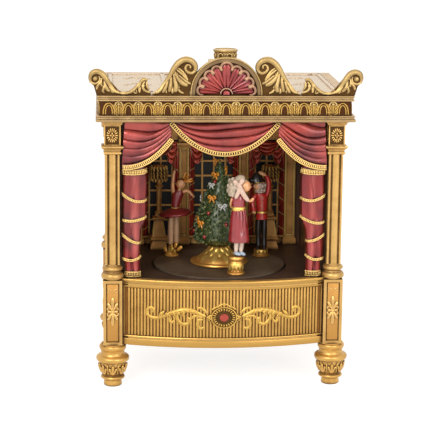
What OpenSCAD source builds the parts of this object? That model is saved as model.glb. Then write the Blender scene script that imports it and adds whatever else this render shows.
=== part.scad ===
// Musical toy theatre: a gilt stage on four turned feet, with a turntable of
// dolls round a tree, driven by a wind-up comb movement in the base.
// X is to the right, the front faces -Y, Z is up and z = 0 is the table top.
// The origin is under the middle of the cornice.

/* [Cornice and roof] */
// Width over the cornice's bottom fillet
cornice_w = 188; // [182:1:200]
// Depth of the cornice, front to back
cornice_d = 145; // [143:1:156]
// Height of the cornice
cornice_h = 19; // [16:0.5:24]
// Thickness of the ceiling under the roof
ceiling_t = 3; // [2:0.5:5]
// Thickness of the roof panel
roof_t = 2.4; // [1.6:0.2:3]
// Distance between the middles of two frieze palmettes
palmette_pitch = 14.07; // [13:0.1:14.5]

/* [Feet and posts] */
// Height of a turned foot
foot_h = 32.3; // [29:0.1:36]
// Radius of a foot's widest ring
foot_r = 12.4; // [11:0.1:12.4]
// Distance from the cornice's side to a column's middle
post_inset = 12; // [10:0.5:13]
// Distance from the cornice's front to the front columns' middle
front_post_inset = 17.2; // [15:0.1:18]
// Distance from the cornice's back to the rear columns' middle
rear_post_inset = 23.5; // [22:0.1:31]
// Side of the square block at the foot of a column
block_w = 14; // [12:0.5:14]
// Height of that block
block_h = 49.2; // [49:0.1:54]
// Height of the two rings over the block
ring_h = 11.8; // [9:0.1:13]
// Radius of the larger ring
ring_r = 8.5; // [7.5:0.1:8.5]
// Side of the fluted shaft
shaft_w = 10.3; // [9:0.1:11]
// Height of the fluted shaft
shaft_h = 83; // [78:1:92]
// Height of the capital
capital_h = 5.7; // [4:0.1:7]
// Side of the capital's top
capital_w = 16.2; // [14:0.1:16.2]
// Height of the rosette block
rosette_h = 15.5; // [14:0.1:18]
// Side of the rosette block
rosette_w = 12; // [11:0.1:13]
// Height of the top cap
cap_h = 3.5; // [3:0.1:5]
// Sideways shift of the rear feet, towards the middle, from the columns
rear_foot_in = 2.7; // [1:0.1:5]
// Distance from the cornice's back to the rear feet's middle
rear_foot_inset = 12.5; // [12.5:0.1:16]

/* [Base] */
// Width of the bowed apron
apron_w = 141; // [136:1:142]
// How far the apron bows out in the middle
bow_rise = 11.4; // [9:0.1:12]
// Distance from the cornice's front to the bow's foremost point
bow_inset = 0.6; // [0.5:0.1:2]
// Wall of the base housing
base_wall = 3; // [2.5:0.1:4]
// Height of the lip moulding in front of the stage
lip_h = 6.5; // [5:0.1:8]
// How far the lip stands over the stage floor
lip_rise = 1.3; // [0.6:0.1:2]
// How far the lip and the foot band stand out from the reeded wall
band_out = 1.4; // [0.8:0.1:2]
// Height of the foot band
band_h = 7.5; // [6:0.1:9]
// Distance from the cornice's back to the base's back
base_back_inset = 5.5; // [5:0.5:7]
// Bottom flange of the base
flange_t = 3; // [2.5:0.1:4]
// Thickness of the bottom board
board_t = 2.5; // [2:0.1:3]

/* [Stage] */
// Thickness of the stage floor's plate
floor_t = 2.9; // [2.5:0.1:3.5]
// Depth of the turntable's tray under the plate
tray_t = 2.2; // [2:0.1:3]
// Radius of the turntable
table_r = 50.2; // [47:0.1:51]
// Thickness of the turntable
table_t = 2.6; // [2:0.1:3]
// Running gap round and under the turntable
table_gap = 0.7; // [0.5:0.1:1]
// Distance from the cornice's middle forward to the turntable's middle
table_fwd = 9.1; // [7:0.1:10]
// How far the turntable stands over the floor
table_rise = 1.1; // [0.5:0.1:1.6]
// Thickness of the stage's walls
wall_t = 3; // [2:0.1:3]
// Distance from the cornice's back to the back wall's outer face
back_wall_inset = 8.4; // [8:0.1:10]

/* [Windows] */
// Half distance between the inner pilasters
pilaster_in = 24; // [23:0.5:26]
// Gap between a side wall and the outer pilaster
pilaster_gap = 4.3; // [3:0.1:6]
// Width of an inner pilaster
pilaster_w = 8; // [6:0.5:9]
// Width of an outer pilaster
outer_pilaster_w = 8.8; // [7:0.1:10]
// Depth of a pilaster
pilaster_d = 3.2; // [2.8:0.1:4]
// Height of the dado under the windows
dado_h = 8; // [7:0.5:14]
// Height of the windows
window_h = 78; // [74:0.5:92]
// Width of a glazing bar
muntin_w = 1.4; // [1:0.1:2]
// Distance between two level glazing bars
muntin_pitch = 12; // [10:0.5:14]
// Distance between two upright glazing bars
muntin_gap = 9.3; // [8:0.1:9.6]
// Depth of the dado and of the lintel over the windows
lintel_d = 2.2; // [2.1:0.1:3]
// Drop of the small drapes at the windows' sides
valance_drop = 18; // [14:0.5:20]
// Drop of the small drape in the middle of a window
valance_mid_drop = 11.5; // [8:0.5:13]
// Width of a window's side hanging
hanging_w = 5; // [4:0.1:6]

/* [Drapes] */
// Half width of the middle swag
swag_half = 38.7; // [36:0.1:40]
// Drop of the middle swag
swag_drop = 25.6; // [22:0.1:28]
// Drop of the side swags beside the columns
side_drop = 36.5; // [34:0.1:38]
// Drop of the side swags at their inner ends
side_inner_drop = 14.6; // [12:0.1:17]
// Thickness of a swag
swag_t = 4.5; // [3:0.1:4.5]
// Distance from the cornice's front to the swags' front
drape_inset = 9; // [8.6:0.1:10]
// Width of a curtain at its widest
curtain_w = 15; // [13:0.1:16]
// Thickness of a curtain
curtain_t = 6; // [5:0.1:7]

/* [Crest] */
// Outer radius of the pediment arch
arch_r = 26; // [24:0.1:27]
// Height of the arch's middle over the cornice
arch_lift = 1.6; // [1:0.1:2]
// Depth of the arch, front to back
arch_d = 6; // [5:0.1:7]
// Width of the arch's ring band
arch_band = 3.8; // [3.4:0.1:5]
// Number of lobes of the shell
shell_lobes = 9; // [7:2:11]
// Distance from the cornice's front to the arch's front
crest_inset = 2.6; // [2:0.1:3]
// Depth of the scroll crests
crest_d = 5.4; // [4:0.1:6]
// Half width over the corner scrolls
crest_half = 99.3; // [98:0.1:100]
// Radius of the crown finial
finial_r = 9; // [8:0.1:10]
// Height of the crown finial
finial_h = 8.2; // [7:0.1:10]
// Height of the plinth behind the arch
plinth_h = 24; // [22:0.1:24.5]

/* [Turntable figures] */
// Height of the dancer up to the raised hand
dancer_h = 68; // [60:0.5:70]
// Height of the doll in the long dress
doll_h = 77.6; // [70:0.1:78]
// Height of the soldier up to the raised hand
soldier_h = 69; // [62:0.5:71]
// Height of a lamp stand at the back of the stage
torchere_h = 68; // [62:0.5:74]
// Distance from the turntable's middle to a figure's middle
figure_orbit = 41; // [39:0.1:41.5]
// Radius of the tree's stepped stand
stand_r = 22; // [20:0.1:24]
// Height of the tree's stand
stand_h = 15.5; // [13:0.1:18]
// Height of the tree
tree_h = 66; // [60:0.5:70]
// Radius of the tree's lowest boughs
tree_r = 19; // [16:0.1:20]

/* [Movement] */
// Height of the movement's legs over the bottom board
leg_h = 3.2; // [2.5:0.1:4]
// Thickness of the movement's bedplate
bed_t = 2.2; // [2:0.1:3]
// Outer radius of the mainspring's drum
drum_r = 16.5; // [15.5:0.1:17]
// Height of the drum
drum_h = 11.5; // [10:0.1:12]
// Radius of the spindle and the winding arbor
spindle_r = 2; // [1.8:0.1:2.4]
// Radial running clearance of every shaft in its bore
run_clear = 0.05; // [0.03:0.01:0.08]
// Teeth of the crown wheel on the spindle
crown_teeth = 48;
// Radius at the middle of the crown wheel's teeth
crown_r = 15; // [14.8:0.1:15.2]
// Teeth of the cylinder's crown pinion
crown_pinion_teeth = 24;
// Radius of the music cylinder
music_r = 6.3; // [5.8:0.1:6.4]
// Length of the music cylinder
music_len = 20.5; // [19:0.1:21]
// Number of notes on the comb
notes = 18; // [16:1:18]
// Module of the spur and worm gears
gear_module = 0.5;
// Teeth of the cylinder's end gear
end_gear_teeth = 30;
// Teeth of the idler's pinion
idler_pinion_teeth = 10;
// Teeth of the idler's worm wheel
worm_wheel_teeth = 20;
// Starts of the governor's worm
worm_starts = 2;
// Reach of the governor's fly
fly_r = 4.8; // [4:0.1:4.8]
// Travel of the stop rod
stop_travel = 3; // [2.5:0.1:3]
// Width over the winding key's wings
key_w = 22; // [18:0.5:26]
// Height of the winding key's wings
key_h = 11; // [9:0.5:12]

/* [Hidden] */

$fn = 48;
eps = 0.01;
gold = "goldenrod";
old_gold = "darkgoldenrod";
crimson = "firebrick";

// Main levels and planes
front_y = -cornice_d / 2;
back_y = cornice_d / 2;
block_top = foot_h + block_h;
shaft_z = block_top + ring_h;
capital_z = shaft_z + shaft_h;
rosette_z = capital_z + capital_h;
cap_z = rosette_z + rosette_h;
cornice_z = cap_z + cap_h;
roof_z = cornice_z + cornice_h;
post_x = cornice_w / 2 - post_inset;
front_post_y = front_y + front_post_inset;
rear_post_y = back_y - rear_post_inset;
rear_foot_x = post_x - rear_foot_in;
rear_foot_y = back_y - rear_foot_inset;
floor_z = block_top;
deck_z = floor_z - floor_t;
tray_z = deck_z - tray_t;
table_y = -table_fwd;
table_top = floor_z + table_rise;
table_z = table_top - table_t;
recess_z = table_z - table_gap;

// Plan of the base
bow_y = front_y + bow_inset;
bow_r = (pow(apron_w / 2, 2) + bow_rise * bow_rise) / (2 * bow_rise);
base_x = post_x + 4;
base_front = bow_y + bow_rise + 4;
base_back = back_y - base_back_inset;
board_z = foot_h + flange_t;
board_top = board_z + board_t;
board_half = 66;
board_front = -50;
board_back = 44;
board_lap = 5;

// Plan of the stage
post_clear = 0.2;
side_wall_out = post_x - ring_r - post_clear;
side_wall_in = side_wall_out - wall_t;
back_wall_out = back_y - back_wall_inset;
back_wall_y = back_wall_out - wall_t;
pilaster_out = side_wall_in - pilaster_gap - outer_pilaster_w / 2;
drape_y = front_y + drape_inset;
curtain_y = drape_y + swag_t + 0.4;
crest_y = front_y + crest_inset;

// Levels of the movement
bed_z = board_top + leg_h;
bed_top = bed_z + bed_t;
drum_top = bed_top + drum_h;
drum_cap = 1.5;
drum_boss = 1;
wheel_z = drum_top + drum_boss + 0.5;
wheel_t = 1.5;
crown_addendum = 0.6;
crown_pitch_z = wheel_z + wheel_t + 1;
crown_pinion_r = crown_r * crown_pinion_teeth / crown_teeth;
music_z = crown_pitch_z + crown_pinion_r;
end_gear_r = gear_module * end_gear_teeth / 2;
idler_pinion_r = gear_module * idler_pinion_teeth / 2;
worm_wheel_r = gear_module * worm_wheel_teeth / 2;
worm_r = 2;
idler_drop = 30;
idler_reach = end_gear_r + idler_pinion_r;
idler_y = table_y + idler_reach * cos(idler_drop);
idler_z = music_z - idler_reach * sin(idler_drop);
governor_y = idler_y + worm_wheel_r + worm_r;
pinion_w = 1.6;
inner_bracket_x = crown_r + 2;
bracket_t = 1.4;
music_x = inner_bracket_x + bracket_t + 0.5;
end_gear_x = music_x + music_len + 0.6;
gear_w = 1.4;
outer_bracket_x = end_gear_x + gear_w + 1;
worm_wheel_x = outer_bracket_x + bracket_t + 0.8;
governor_x = worm_wheel_x + 0.6;
governor_top = music_z + 4;
fly_z = bed_top + 3;
fly_h = 6;
stop_z = fly_z + fly_h / 2;
arbor_r = 1;
pivot_r = 0.8;
key_z = foot_h - key_h - 6.3;
comb_y = table_y - music_r - 0.75;

// Copies of a child at plus and minus x
module pair(x) {
    for (side = [-1, 1]) translate([side * x, 0, 0]) children();
}

// A square bar, centred in plan, from z0 to z1
module bar(w, z0, z1) {
    translate([-w / 2, -w / 2, z0]) cube([w, w, z1 - z0]);
}

// A box given by its low and high corners
module box(low, high) {
    translate(low) cube(high - low);
}

// An upright plate: the child outline is drawn in X and Z, front face at y
module plate(y, t) {
    translate([0, y + t, 0]) rotate([90, 0, 0]) linear_extrude(t) children();
}

// Where one of the four posts stands
module at_post(side, rear) {
    translate([side * post_x, rear ? rear_post_y : front_post_y, 0]) children();
}

// Turned foot, drawn round the origin; radii are shares of the widest ring
module foot() {
    k = foot_r / 12.4;
    h = foot_h / 32.3;
    outline = [
        [0, 0], [6.3, 0], [6.8, 1.2], [6.3, 5], [8.4, 5.5], [9, 6.5], [8.4, 7.7],
        [6.8, 8.5], [7.9, 9.6], [10.4, 17.5], [9.6, 18.6], [11.7, 19.6],
        [12.4, 21.4], [11.7, 23.2], [9.2, 24.1], [8.75, 25.6], [9.1, 27.8],
        [10, 28.8], [10, 30.8], [8.8, 31.5], [8.8, 32.3], [0, 32.3]
    ];
    color(gold) rotate_extrude($fn = 64) polygon([for (p = outline) [p[0] * k, p[1] * h]]);
}

// Corner post: panelled block, two rings, fluted shaft, capital, rosette block.
// The block has a panel on each of the faces that show, given as turns from -Y.
module post(faces) {
    panel_w = block_w * 0.66;
    panel_low = foot_h + 6;
    panel_high = block_top - 3;
    flute_r = shaft_w * 0.085;
    color(old_gold) difference() {
        union() {
            bar(block_w, foot_h, block_top);
            rotate_extrude($fn = 64) polygon(concat(
                [[0, block_top], [ring_r - 1.6, block_top]],
                [for (a = [-60:30:90])
                    [ring_r - 2.6 + 2.6 * cos(a), block_top + 3.4 + 3.1 * sin(a)]],
                [for (a = [-60:30:60])
                    [ring_r - 3 + 2 * cos(a), block_top + 9 + 2 * sin(a)]],
                [[shaft_w / 2, shaft_z], [0, shaft_z]]));
            bar(shaft_w, shaft_z, capital_z);
            bar(shaft_w + 1.4, capital_z - 0.5, capital_z + capital_h * 0.3);
            bar(capital_w - 3, capital_z + capital_h * 0.3, capital_z + capital_h * 0.6);
            bar(capital_w, capital_z + capital_h * 0.6, rosette_z);
            bar(rosette_w, rosette_z, cap_z);
            bar(capital_w - 1.6, cap_z, cap_z + cap_h * 0.45);
            bar(capital_w - 0.2, cap_z + cap_h * 0.45, cornice_z);
        }
        for (turn = faces) rotate(turn) box([-panel_w / 2, -block_w / 2 - 1, panel_low],
            [panel_w / 2, -block_w / 2 + 0.7, panel_high]);
        for (turn = [0:90:270]) rotate(turn) {
            for (side = [-1, 1]) translate([side * shaft_w * 0.31, -shaft_w / 2, shaft_z + 3])
                cylinder(r = flute_r, h = shaft_h - 6, $fn = 16);
            box([-rosette_w * 0.36, -rosette_w / 2 - 1, rosette_z + 2],
                [rosette_w * 0.36, -rosette_w / 2 + 0.6, cap_z - 2]);
        }
    }
    color(gold) {
        for (turn = faces) rotate(turn)
            translate([0, -block_w / 2 + 0.7 + eps, foot_h + block_h / 2 + 1]) rotate([90, 0, 0]) {
                cylinder(r1 = 2, r2 = 1.2, h = 1.1, $fn = 24);
                for (a = [0:45:315]) rotate(a) linear_extrude(0.6)
                    polygon(petal(a % 180 == 0 ? 11 : (a % 90 == 0 ? 3.4 : 4.4), 0.9));
            }
        for (turn = [0:90:270]) rotate(turn)
            translate([0, -rosette_w / 2 + 0.6 + eps, (rosette_z + cap_z) / 2]) rotate([90, 0, 0])
                cylinder(r1 = rosette_w * 0.34, r2 = rosette_w * 0.2, h = 0.9, $fn = 32);
    }
}

// Teardrop outline from the origin along +Y, with a round end
function petal(l, w) = concat([[0, 0]],
    [for (a = [-20:20:200]) [w * cos(a), l - w + w * sin(a)]]);

// The bowed part of the base's plan, drawn inwards by inset, from z0 to z1.
// It ends at the front of the square part, or runs on into it by into_box.
module bow(inset, z0, z1, side_inset = 0, into_box = 0) {
    intersection() {
        translate([0, bow_y + bow_r, z0]) cylinder(r = bow_r - inset, h = z1 - z0, $fn = 256);
        box([-apron_w / 2 + side_inset, bow_y - 1, z0 - 1],
            [apron_w / 2 - side_inset, base_front + into_box, z1 + 1]);
    }
}

// The square part of the base's plan, drawn inwards by inset
module base_box(inset, z0, z1) {
    box([-base_x + inset, base_front + inset, z0], [base_x - inset, base_back - inset, z1]);
}

// Squares of the four post blocks, grown by a clearance
module block_squares(grow, z0, z1) {
    for (side = [-1, 1], rear = [false, true]) at_post(side, rear) bar(block_w + 2 * grow, z0, z1);
}

board_screw_x = board_half - board_lap / 2;
board_screw_y = [board_front + 14, board_back - 14];
module at_board_screws() {
    for (side = [-1, 1], y = board_screw_y) translate([side * board_screw_x, y, 0]) children();
}

module base_housing() {
    inner = base_wall + band_out;
    color(gold) difference() {
        union() {
            bow(0, foot_h, foot_h + band_h);
            bow(band_out, foot_h, floor_z + lip_rise - eps);
            bow(0, floor_z + lip_rise - lip_h, floor_z + lip_rise);
            base_box(0, foot_h, deck_z);
        }
        // Hollow for the movement, with pockets left round the post blocks
        difference() {
            union() {
                bow(inner, board_z, floor_z + 5, base_wall, base_wall + 1);
                base_box(base_wall, board_z, deck_z + 1);
            }
            block_squares(base_wall, board_z - 1, deck_z);
        }
        bow(inner, deck_z, floor_z + 5, base_wall, 1);
        block_squares(0, foot_h - 1, floor_z + 5);
        // Way in for the movement
        box([-board_half + board_lap, board_front + board_lap, foot_h - 1],
            [board_half - board_lap, board_back - board_lap, board_z + 1]);
        at_board_screws() {
            translate([0, 0, foot_h - 1]) cylinder(r = 1.25, h = flange_t + 2, $fn = 24);
            translate([0, 0, foot_h - 1]) cylinder(r = 2.3, h = 2.2, $fn = 24);
        }
        // Bore of the stop rod in the rear wall
        translate([governor_x, base_back + 1, stop_z]) rotate([90, 0, 0])
            cylinder(r = 1.5 + run_clear, h = base_wall + 2);
    }
}

movement_leg_x = [-14, governor_x + 3];
movement_leg_y = [table_y - 25, table_y + 29];
module at_movement_legs() {
    for (x = movement_leg_x, y = movement_leg_y) translate([x, y, 0]) children();
}

module bottom_board() {
    color("saddlebrown") difference() {
        box([-board_half, board_front, board_z], [board_half, board_back, board_top]);
        translate([0, table_y, board_z - 1]) cylinder(r = 5.5, h = board_t + 2);
        at_board_screws() translate([0, 0, board_z - 1]) cylinder(r = 1.25, h = board_t + 2, $fn = 24);
        at_movement_legs() translate([0, 0, board_z - 1]) cylinder(r = 1.25, h = board_t + 2, $fn = 24);
    }
}

// Pan-head screw whose head's underside is at the origin, pointing up
module screw(length, head_r = 2.1) {
    translate([0, 0, -1.1]) cylinder(r = head_r, h = 1.1, $fn = 24);
    cylinder(r = 1.2, h = length, $fn = 24);
}

module board_screws() {
    color("silver") at_board_screws() translate([0, 0, foot_h + 1.2]) screw(flange_t + board_t - 1.4);
}

module movement_screws() {
    color("silver") at_movement_legs() translate([0, 0, board_z]) screw(board_t + leg_h + 1);
}

medallion_z = foot_h + block_h * 0.5 - 0.7;
apron_face = bow_y + band_out;

// Depth of the reeded wall's face at a given x
function apron_y(x) = bow_y + bow_r - sqrt(pow(bow_r - band_out, 2) - x * x);

// Flat strip along a list of points, for scrolls; half-widths come with them
function strip(path) = let (n = len(path)) concat(
    [for (i = [0:n - 1]) let (d = strip_dir(path, i))
        [path[i][0] - d[1] * path[i][2], path[i][1] + d[0] * path[i][2]]],
    [for (i = [n - 1:-1:0]) let (d = strip_dir(path, i))
        [path[i][0] + d[1] * path[i][2], path[i][1] - d[0] * path[i][2]]]);
function strip_dir(path, i) = let (
    a = path[max(i - 1, 0)], b = path[min(i + 1, len(path) - 1)],
    v = [b[0] - a[0], b[1] - a[1]]) v / norm(v);

// Spiral path round c: angle a0 to a1, radius r0 to r1, half-width w0 to w1
function spiral(c, a0, a1, r0, r1, w0, w1, n = 24) = [for (i = [0:n])
    let (t = i / n, a = a0 + (a1 - a0) * t, r = r0 + (r1 - r0) * t)
    [c[0] + r * cos(a), c[1] + r * sin(a), w0 + (w1 - w0) * t]];

// Everything of the child that lies from the bowed wall out to a given height
module on_bow(height) {
    intersection() {
        children();
        translate([0, bow_y + bow_r, 0]) difference() {
            cylinder(r = bow_r - band_out + height, h = cornice_z, $fn = 256);
            translate([0, 0, -1]) cylinder(r = bow_r - band_out + eps, h = cornice_z + 2, $fn = 256);
        }
    }
}

// Raised scrolls on both sides of the medallion, seated on the bowed wall
module apron_scrollwork() {
    reach = apron_y(58) - bow_y + band_out;
    color(gold) on_bow(1.5) plate(bow_y - 1, reach + 1) for (side = [-1, 1]) scale([side, 1]) {
        polygon(strip(spiral([21.5, medallion_z - 1.5], 200, -120, 5.6, 2, 1.3, 0.9)));
        polygon(strip([for (t = [0:0.1:1.01]) [16.5 + 30 * t, medallion_z - 3.4 - 4 * sin(180 * t) + 8 * t, 1.5 - 0.5 * t]]));
        polygon(strip(spiral([51.5, medallion_z + 1], 150, 500, 6.2, 1.8, 1.3, 0.8)));
    }
}

module apron_medallion() {
    color(old_gold) on_bow(1.3) plate(bow_y - 1, 4) difference() {
        translate([0, medallion_z]) polygon([for (a = [0:10:350]) [9.75 * cos(a), 8.5 * sin(a)]]);
        translate([0, medallion_z]) polygon([for (a = [0:10:350]) [3.6 * cos(a), 2.65 * sin(a)]]);
    }
}

module apron_jewel() {
    color(crimson) translate([0, apron_face - 0.1, medallion_z]) rotate([90, 0, 0]) {
        linear_extrude(1.2) polygon([for (a = [0:30:330]) [3.4 * cos(a), 2.45 * sin(a)]]);
        translate([0, 0, 1.2]) linear_extrude(0.5) polygon([for (a = [0:30:330]) [2.4 * cos(a), 1.7 * sin(a)]]);
    }
}

module stage_floor() {
    edge = base_wall + band_out + 0.3;
    color("dimgray") difference() {
        union() {
            bow(edge, deck_z, floor_z, base_wall + 0.3, eps);
            base_box(0, deck_z, floor_z);
            translate([0, table_y, tray_z]) cylinder(r = table_r + 3.8, h = tray_t + eps, $fn = 128);
        }
        block_squares(0.2, tray_z - 1, floor_z + 1);
        translate([0, table_y, recess_z]) cylinder(r = table_r + table_gap, h = 10, $fn = 128);
        translate([0, table_y, tray_z - 1]) cylinder(r = 4.5, h = 10);
    }
}

module back_wall() {
    color(old_gold) box([-side_wall_out, back_wall_y, floor_z], [side_wall_out, back_wall_out, cornice_z]);
}

module side_wall(side) {
    front = front_post_y + ring_r;
    color(old_gold) scale([side, 1, 1]) {
        box([side_wall_in, front, floor_z], [side_wall_out, back_wall_y, cornice_z]);
        // Return behind the front post, so that no light shows beside it
        box([side_wall_out - eps, front + post_clear, floor_z],
            [post_x - shaft_w * 0.3, front + wall_t, cornice_z]);
    }
}

// Outline of a panel with a flat arch on top
function arch_panel(half, low, high, rise) = concat([[-half, low], [half, low]],
    [for (a = [0:10:180]) [half * cos(a), high + rise * sin(a)]]);

// Arched moulding and a flower boss on the outside of a side wall
module side_relief(side) {
    mid_y = (front_post_y + rear_post_y) / 2;
    low = floor_z + 12;
    high = cornice_z - 34;
    half = (rear_post_y - front_post_y) * 0.33;
    rise = half * 0.55;
    strip_w = 3;
    color(gold) translate([side * side_wall_out, mid_y, 0]) rotate([90, 0, side * 90]) {
        linear_extrude(2) difference() {
            polygon(arch_panel(half, low, high, rise));
            polygon(arch_panel(half - strip_w, low + strip_w, high, rise - strip_w));
        }
        translate([0, (low + high) / 2]) {
            cylinder(r1 = 5, r2 = 3, h = 4, $fn = 32);
            linear_extrude(2) for (a = [0:45:315]) rotate(a) polygon(petal(a % 90 == 0 ? 20 : 14, 3));
        }
    }
}

window_half = pilaster_in - pilaster_w / 2;
side_window = [pilaster_in + pilaster_w / 2, pilaster_out - outer_pilaster_w / 2];
window_low = floor_z + dado_h;
window_high = window_low + window_h;
pane_t = 0.8;
bar_t = 1.2;
window_spans = [[-side_window[1], -side_window[0]], [-window_half, window_half], side_window];

// Pilasters, dado, lintel and glazing bars on the back wall
module window_frames() {
    bar_y = back_wall_y - pane_t - bar_t;
    outer_x = pilaster_out + outer_pilaster_w / 2 - eps;
    color(old_gold) {
        pair(pilaster_in) box([-pilaster_w / 2, back_wall_y - pilaster_d, floor_z],
            [pilaster_w / 2, back_wall_y, cornice_z]);
        pair(pilaster_out) box([-outer_pilaster_w / 2, back_wall_y - pilaster_d, floor_z],
            [outer_pilaster_w / 2, back_wall_y, cornice_z]);
        for (level = [[floor_z, window_low], [window_high, cornice_z]])
            box([-outer_x, back_wall_y - lintel_d, level[0]], [outer_x, back_wall_y, level[1]]);
        for (span = window_spans) {
            for (z = [window_low + muntin_pitch:muntin_pitch:window_high - 2])
                box([span[0], bar_y, z], [span[1], bar_y + bar_t, z + muntin_w]);
            for (x = [-1, 0, 1] * muntin_gap)
                translate([(span[0] + span[1]) / 2 + x, 0, 0])
                    box([-muntin_w / 2, bar_y, window_low], [muntin_w / 2, bar_y + bar_t, window_high]);
        }
    }
}

module window_panes() {
    color("darkslategray") for (span = window_spans)
        box([span[0], back_wall_y - pane_t, window_low], [span[1], back_wall_y, window_high]);
}

// Half-moon drape from x0 to x1 that hangs from the lintel
module half_moon(x0, x1, drop, y, t) {
    mid = (x0 + x1) / 2;
    half = (x1 - x0) / 2;
    plate(y, t) polygon(concat([[x1, window_high], [x0, window_high]],
        [for (s = [-1:0.2:1.01]) [mid + half * s, window_high - 3 - (drop - 3) * (1 - s * s)]]));
}

// Valances and side hangings: two half-moons beside a shallower one in front, over every window
module window_drapes() {
    y = back_wall_y - pane_t - bar_t - 2;
    color(crimson) for (span = window_spans) {
        half = (span[1] - span[0]) / 2;
        mid = (span[0] + span[1]) / 2;
        moon_w = half * 0.7;
        half_moon(span[0], span[0] + moon_w, valance_drop, y, 2);
        half_moon(span[1] - moon_w, span[1], valance_drop, y, 2);
        half_moon(mid - half * 0.7, mid + half * 0.7, valance_mid_drop, y - 0.8, 2.4);
        for (side = [-1, 1]) translate([mid, 0]) scale([side, 1]) plate(y, 2)
            polygon([[half, window_high - 1], [half - hanging_w, window_high - 1],
                [half - hanging_w * 0.75, window_low + 0.5], [half, window_low + 0.5]]);
    }
}

torchere_x = 44.5;
torchere_y = back_wall_y - 14;

// Lamp stand: stepped square pedestal, slim column and a fan of candles
module torchere(side) {
    color(gold) translate([side * torchere_x, torchere_y, floor_z]) scale(torchere_h / 70) {
        bar(13, 0, 7);
        bar(10.5, 7, 11);
        bar(8, 11, 23);
        bar(9.6, 23, 26);
        translate([0, 0, 26]) cylinder(r1 = 3, r2 = 2.2, h = 4);
        translate([0, 0, 30]) cylinder(r = 2.2, h = 22);
        translate([0, 0, 52]) cylinder(r1 = 2.2, r2 = 5.5, h = 5);
        translate([0, 0, 57]) cylinder(r = 7.6, h = 13);
    }
}

swag_end_z = cornice_z - 2;
swag_low_z = cornice_z - swag_drop;
side_low_z = cornice_z - side_drop;
drape_x = post_x - capital_w / 2 - post_clear;
shaft_gap = 1.7;

// Middle swag, in three folds that step forward
module centre_swag() {
    color(crimson) for (fold = [0:2]) {
        low = swag_low_z + fold * swag_drop * 0.2;
        half = swag_half - fold * 3;
        plate(drape_y + (2 - fold) * 0.6, swag_t - (2 - fold) * 0.6) polygon(concat(
            [for (t = [-1:0.1:1.01]) [half * t, low + (swag_end_z - low) * t * t]],
            [[half, cornice_z], [-half, cornice_z]]));
    }
}

// Side swag from beside the middle one down to the column
module side_swag(side) {
    x0 = swag_half + 0.3;
    x1 = post_x - shaft_w / 2 - shaft_gap;
    color(crimson) plate(drape_y, swag_t) scale([side, 1]) polygon(concat(
        [[x0, cornice_z]],
        [for (t = [0:0.1:1.01])
            [x0 + (x1 - x0) * t, side_low_z + (side_drop - side_inner_drop) * pow(1 - t, 2.2)]],
        [[x1, capital_z - 0.3], [drape_x, capital_z - 0.3], [drape_x, cornice_z]]));
}

// Hanging curtain that stands on the lip, gathered at its foot, with round folds
module curtain(side) {
    outer = post_x - shaft_w / 2 - shaft_gap;
    low_outer = post_x - ring_r - 0.3;
    inner = outer - curtain_w - shaft_gap;
    low_inner = inner + curtain_w * 0.18;
    low_z = floor_z + lip_rise;
    tie_z = shaft_z + shaft_h * 0.82;
    top_z = tie_z + shaft_h * 0.145;
    folds = 2;
    fold_r = (low_outer - low_inner) / (2 * folds);
    color(crimson) scale([side, 1, 1]) {
        plate(curtain_y + fold_r, curtain_t - fold_r) polygon([
            [low_outer, low_z], [low_inner, low_z], [low_inner, shaft_z - ring_h / 3],
            [inner, shaft_z + shaft_h * 0.58], [inner + curtain_w * 0.2, tie_z], [inner + 1, top_z],
            [outer, top_z], [outer, shaft_z + 1], [low_outer, shaft_z + 1]]);
        for (k = [0:folds - 1]) translate([low_inner + fold_r * (2 * k + 1), curtain_y + fold_r, low_z])
            cylinder(r = fold_r + 0.1, h = tie_z - low_z - 0.5, $fn = 24);
    }
}

// Cornice: two fillets with a frieze of palmettes between, and a ceiling
module cornice() {
    fillet_low = cornice_h * 0.24;
    fillet_high = cornice_h * 0.2;
    frieze_in = 3.4;
    rim_w = 9;
    frieze_z = cornice_z + fillet_low;
    frieze_h = cornice_h - fillet_low - fillet_high;
    color(old_gold) difference() {
        union() {
            box([-cornice_w / 2, front_y, cornice_z], [cornice_w / 2, back_y, frieze_z]);
            box([-cornice_w / 2 + frieze_in, front_y + frieze_in, cornice_z],
                [cornice_w / 2 - frieze_in, back_y - frieze_in, roof_z]);
            box([-cornice_w / 2 + 1, front_y, roof_z - fillet_high], [cornice_w / 2 - 1, back_y, roof_z]);
        }
        box([-cornice_w / 2 + rim_w + 3, front_y + rim_w + 3, cornice_z + ceiling_t],
            [cornice_w / 2 - rim_w - 3, back_y - rim_w - 3, roof_z + 1]);
        box([-cornice_w / 2 + rim_w, front_y + rim_w, roof_z - roof_t - 0.6],
            [cornice_w / 2 - rim_w, back_y - rim_w, roof_z + 1]);
    }
    // Palmettes, each a fan under a round bead
    front_count = 12;
    side_count = 9;
    color(gold) {
        for (face = [0, 1]) rotate(face * 180) for (i = [0:front_count - 1])
            translate([(i - (front_count - 1) / 2) * palmette_pitch, front_y + frieze_in + eps, frieze_z])
                palmette(frieze_h);
        for (side = [-1, 1]) rotate(side * 90) for (i = [0:side_count - 1])
            translate([(i - (side_count - 1) / 2) * palmette_pitch,
                -cornice_w / 2 + frieze_in + eps, frieze_z]) palmette(frieze_h);
    }
}

module palmette(h) {
    rotate([90, 0, 0]) {
        linear_extrude(1.6) polygon([[-1.6, 0.6], [1.6, 0.6], [4.8, h * 0.72], [0, h * 0.82], [-4.8, h * 0.72]]);
        translate([0, h * 0.86, 0]) cylinder(r = 1.2, h = 2.4, $fn = 24);
    }
}

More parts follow.
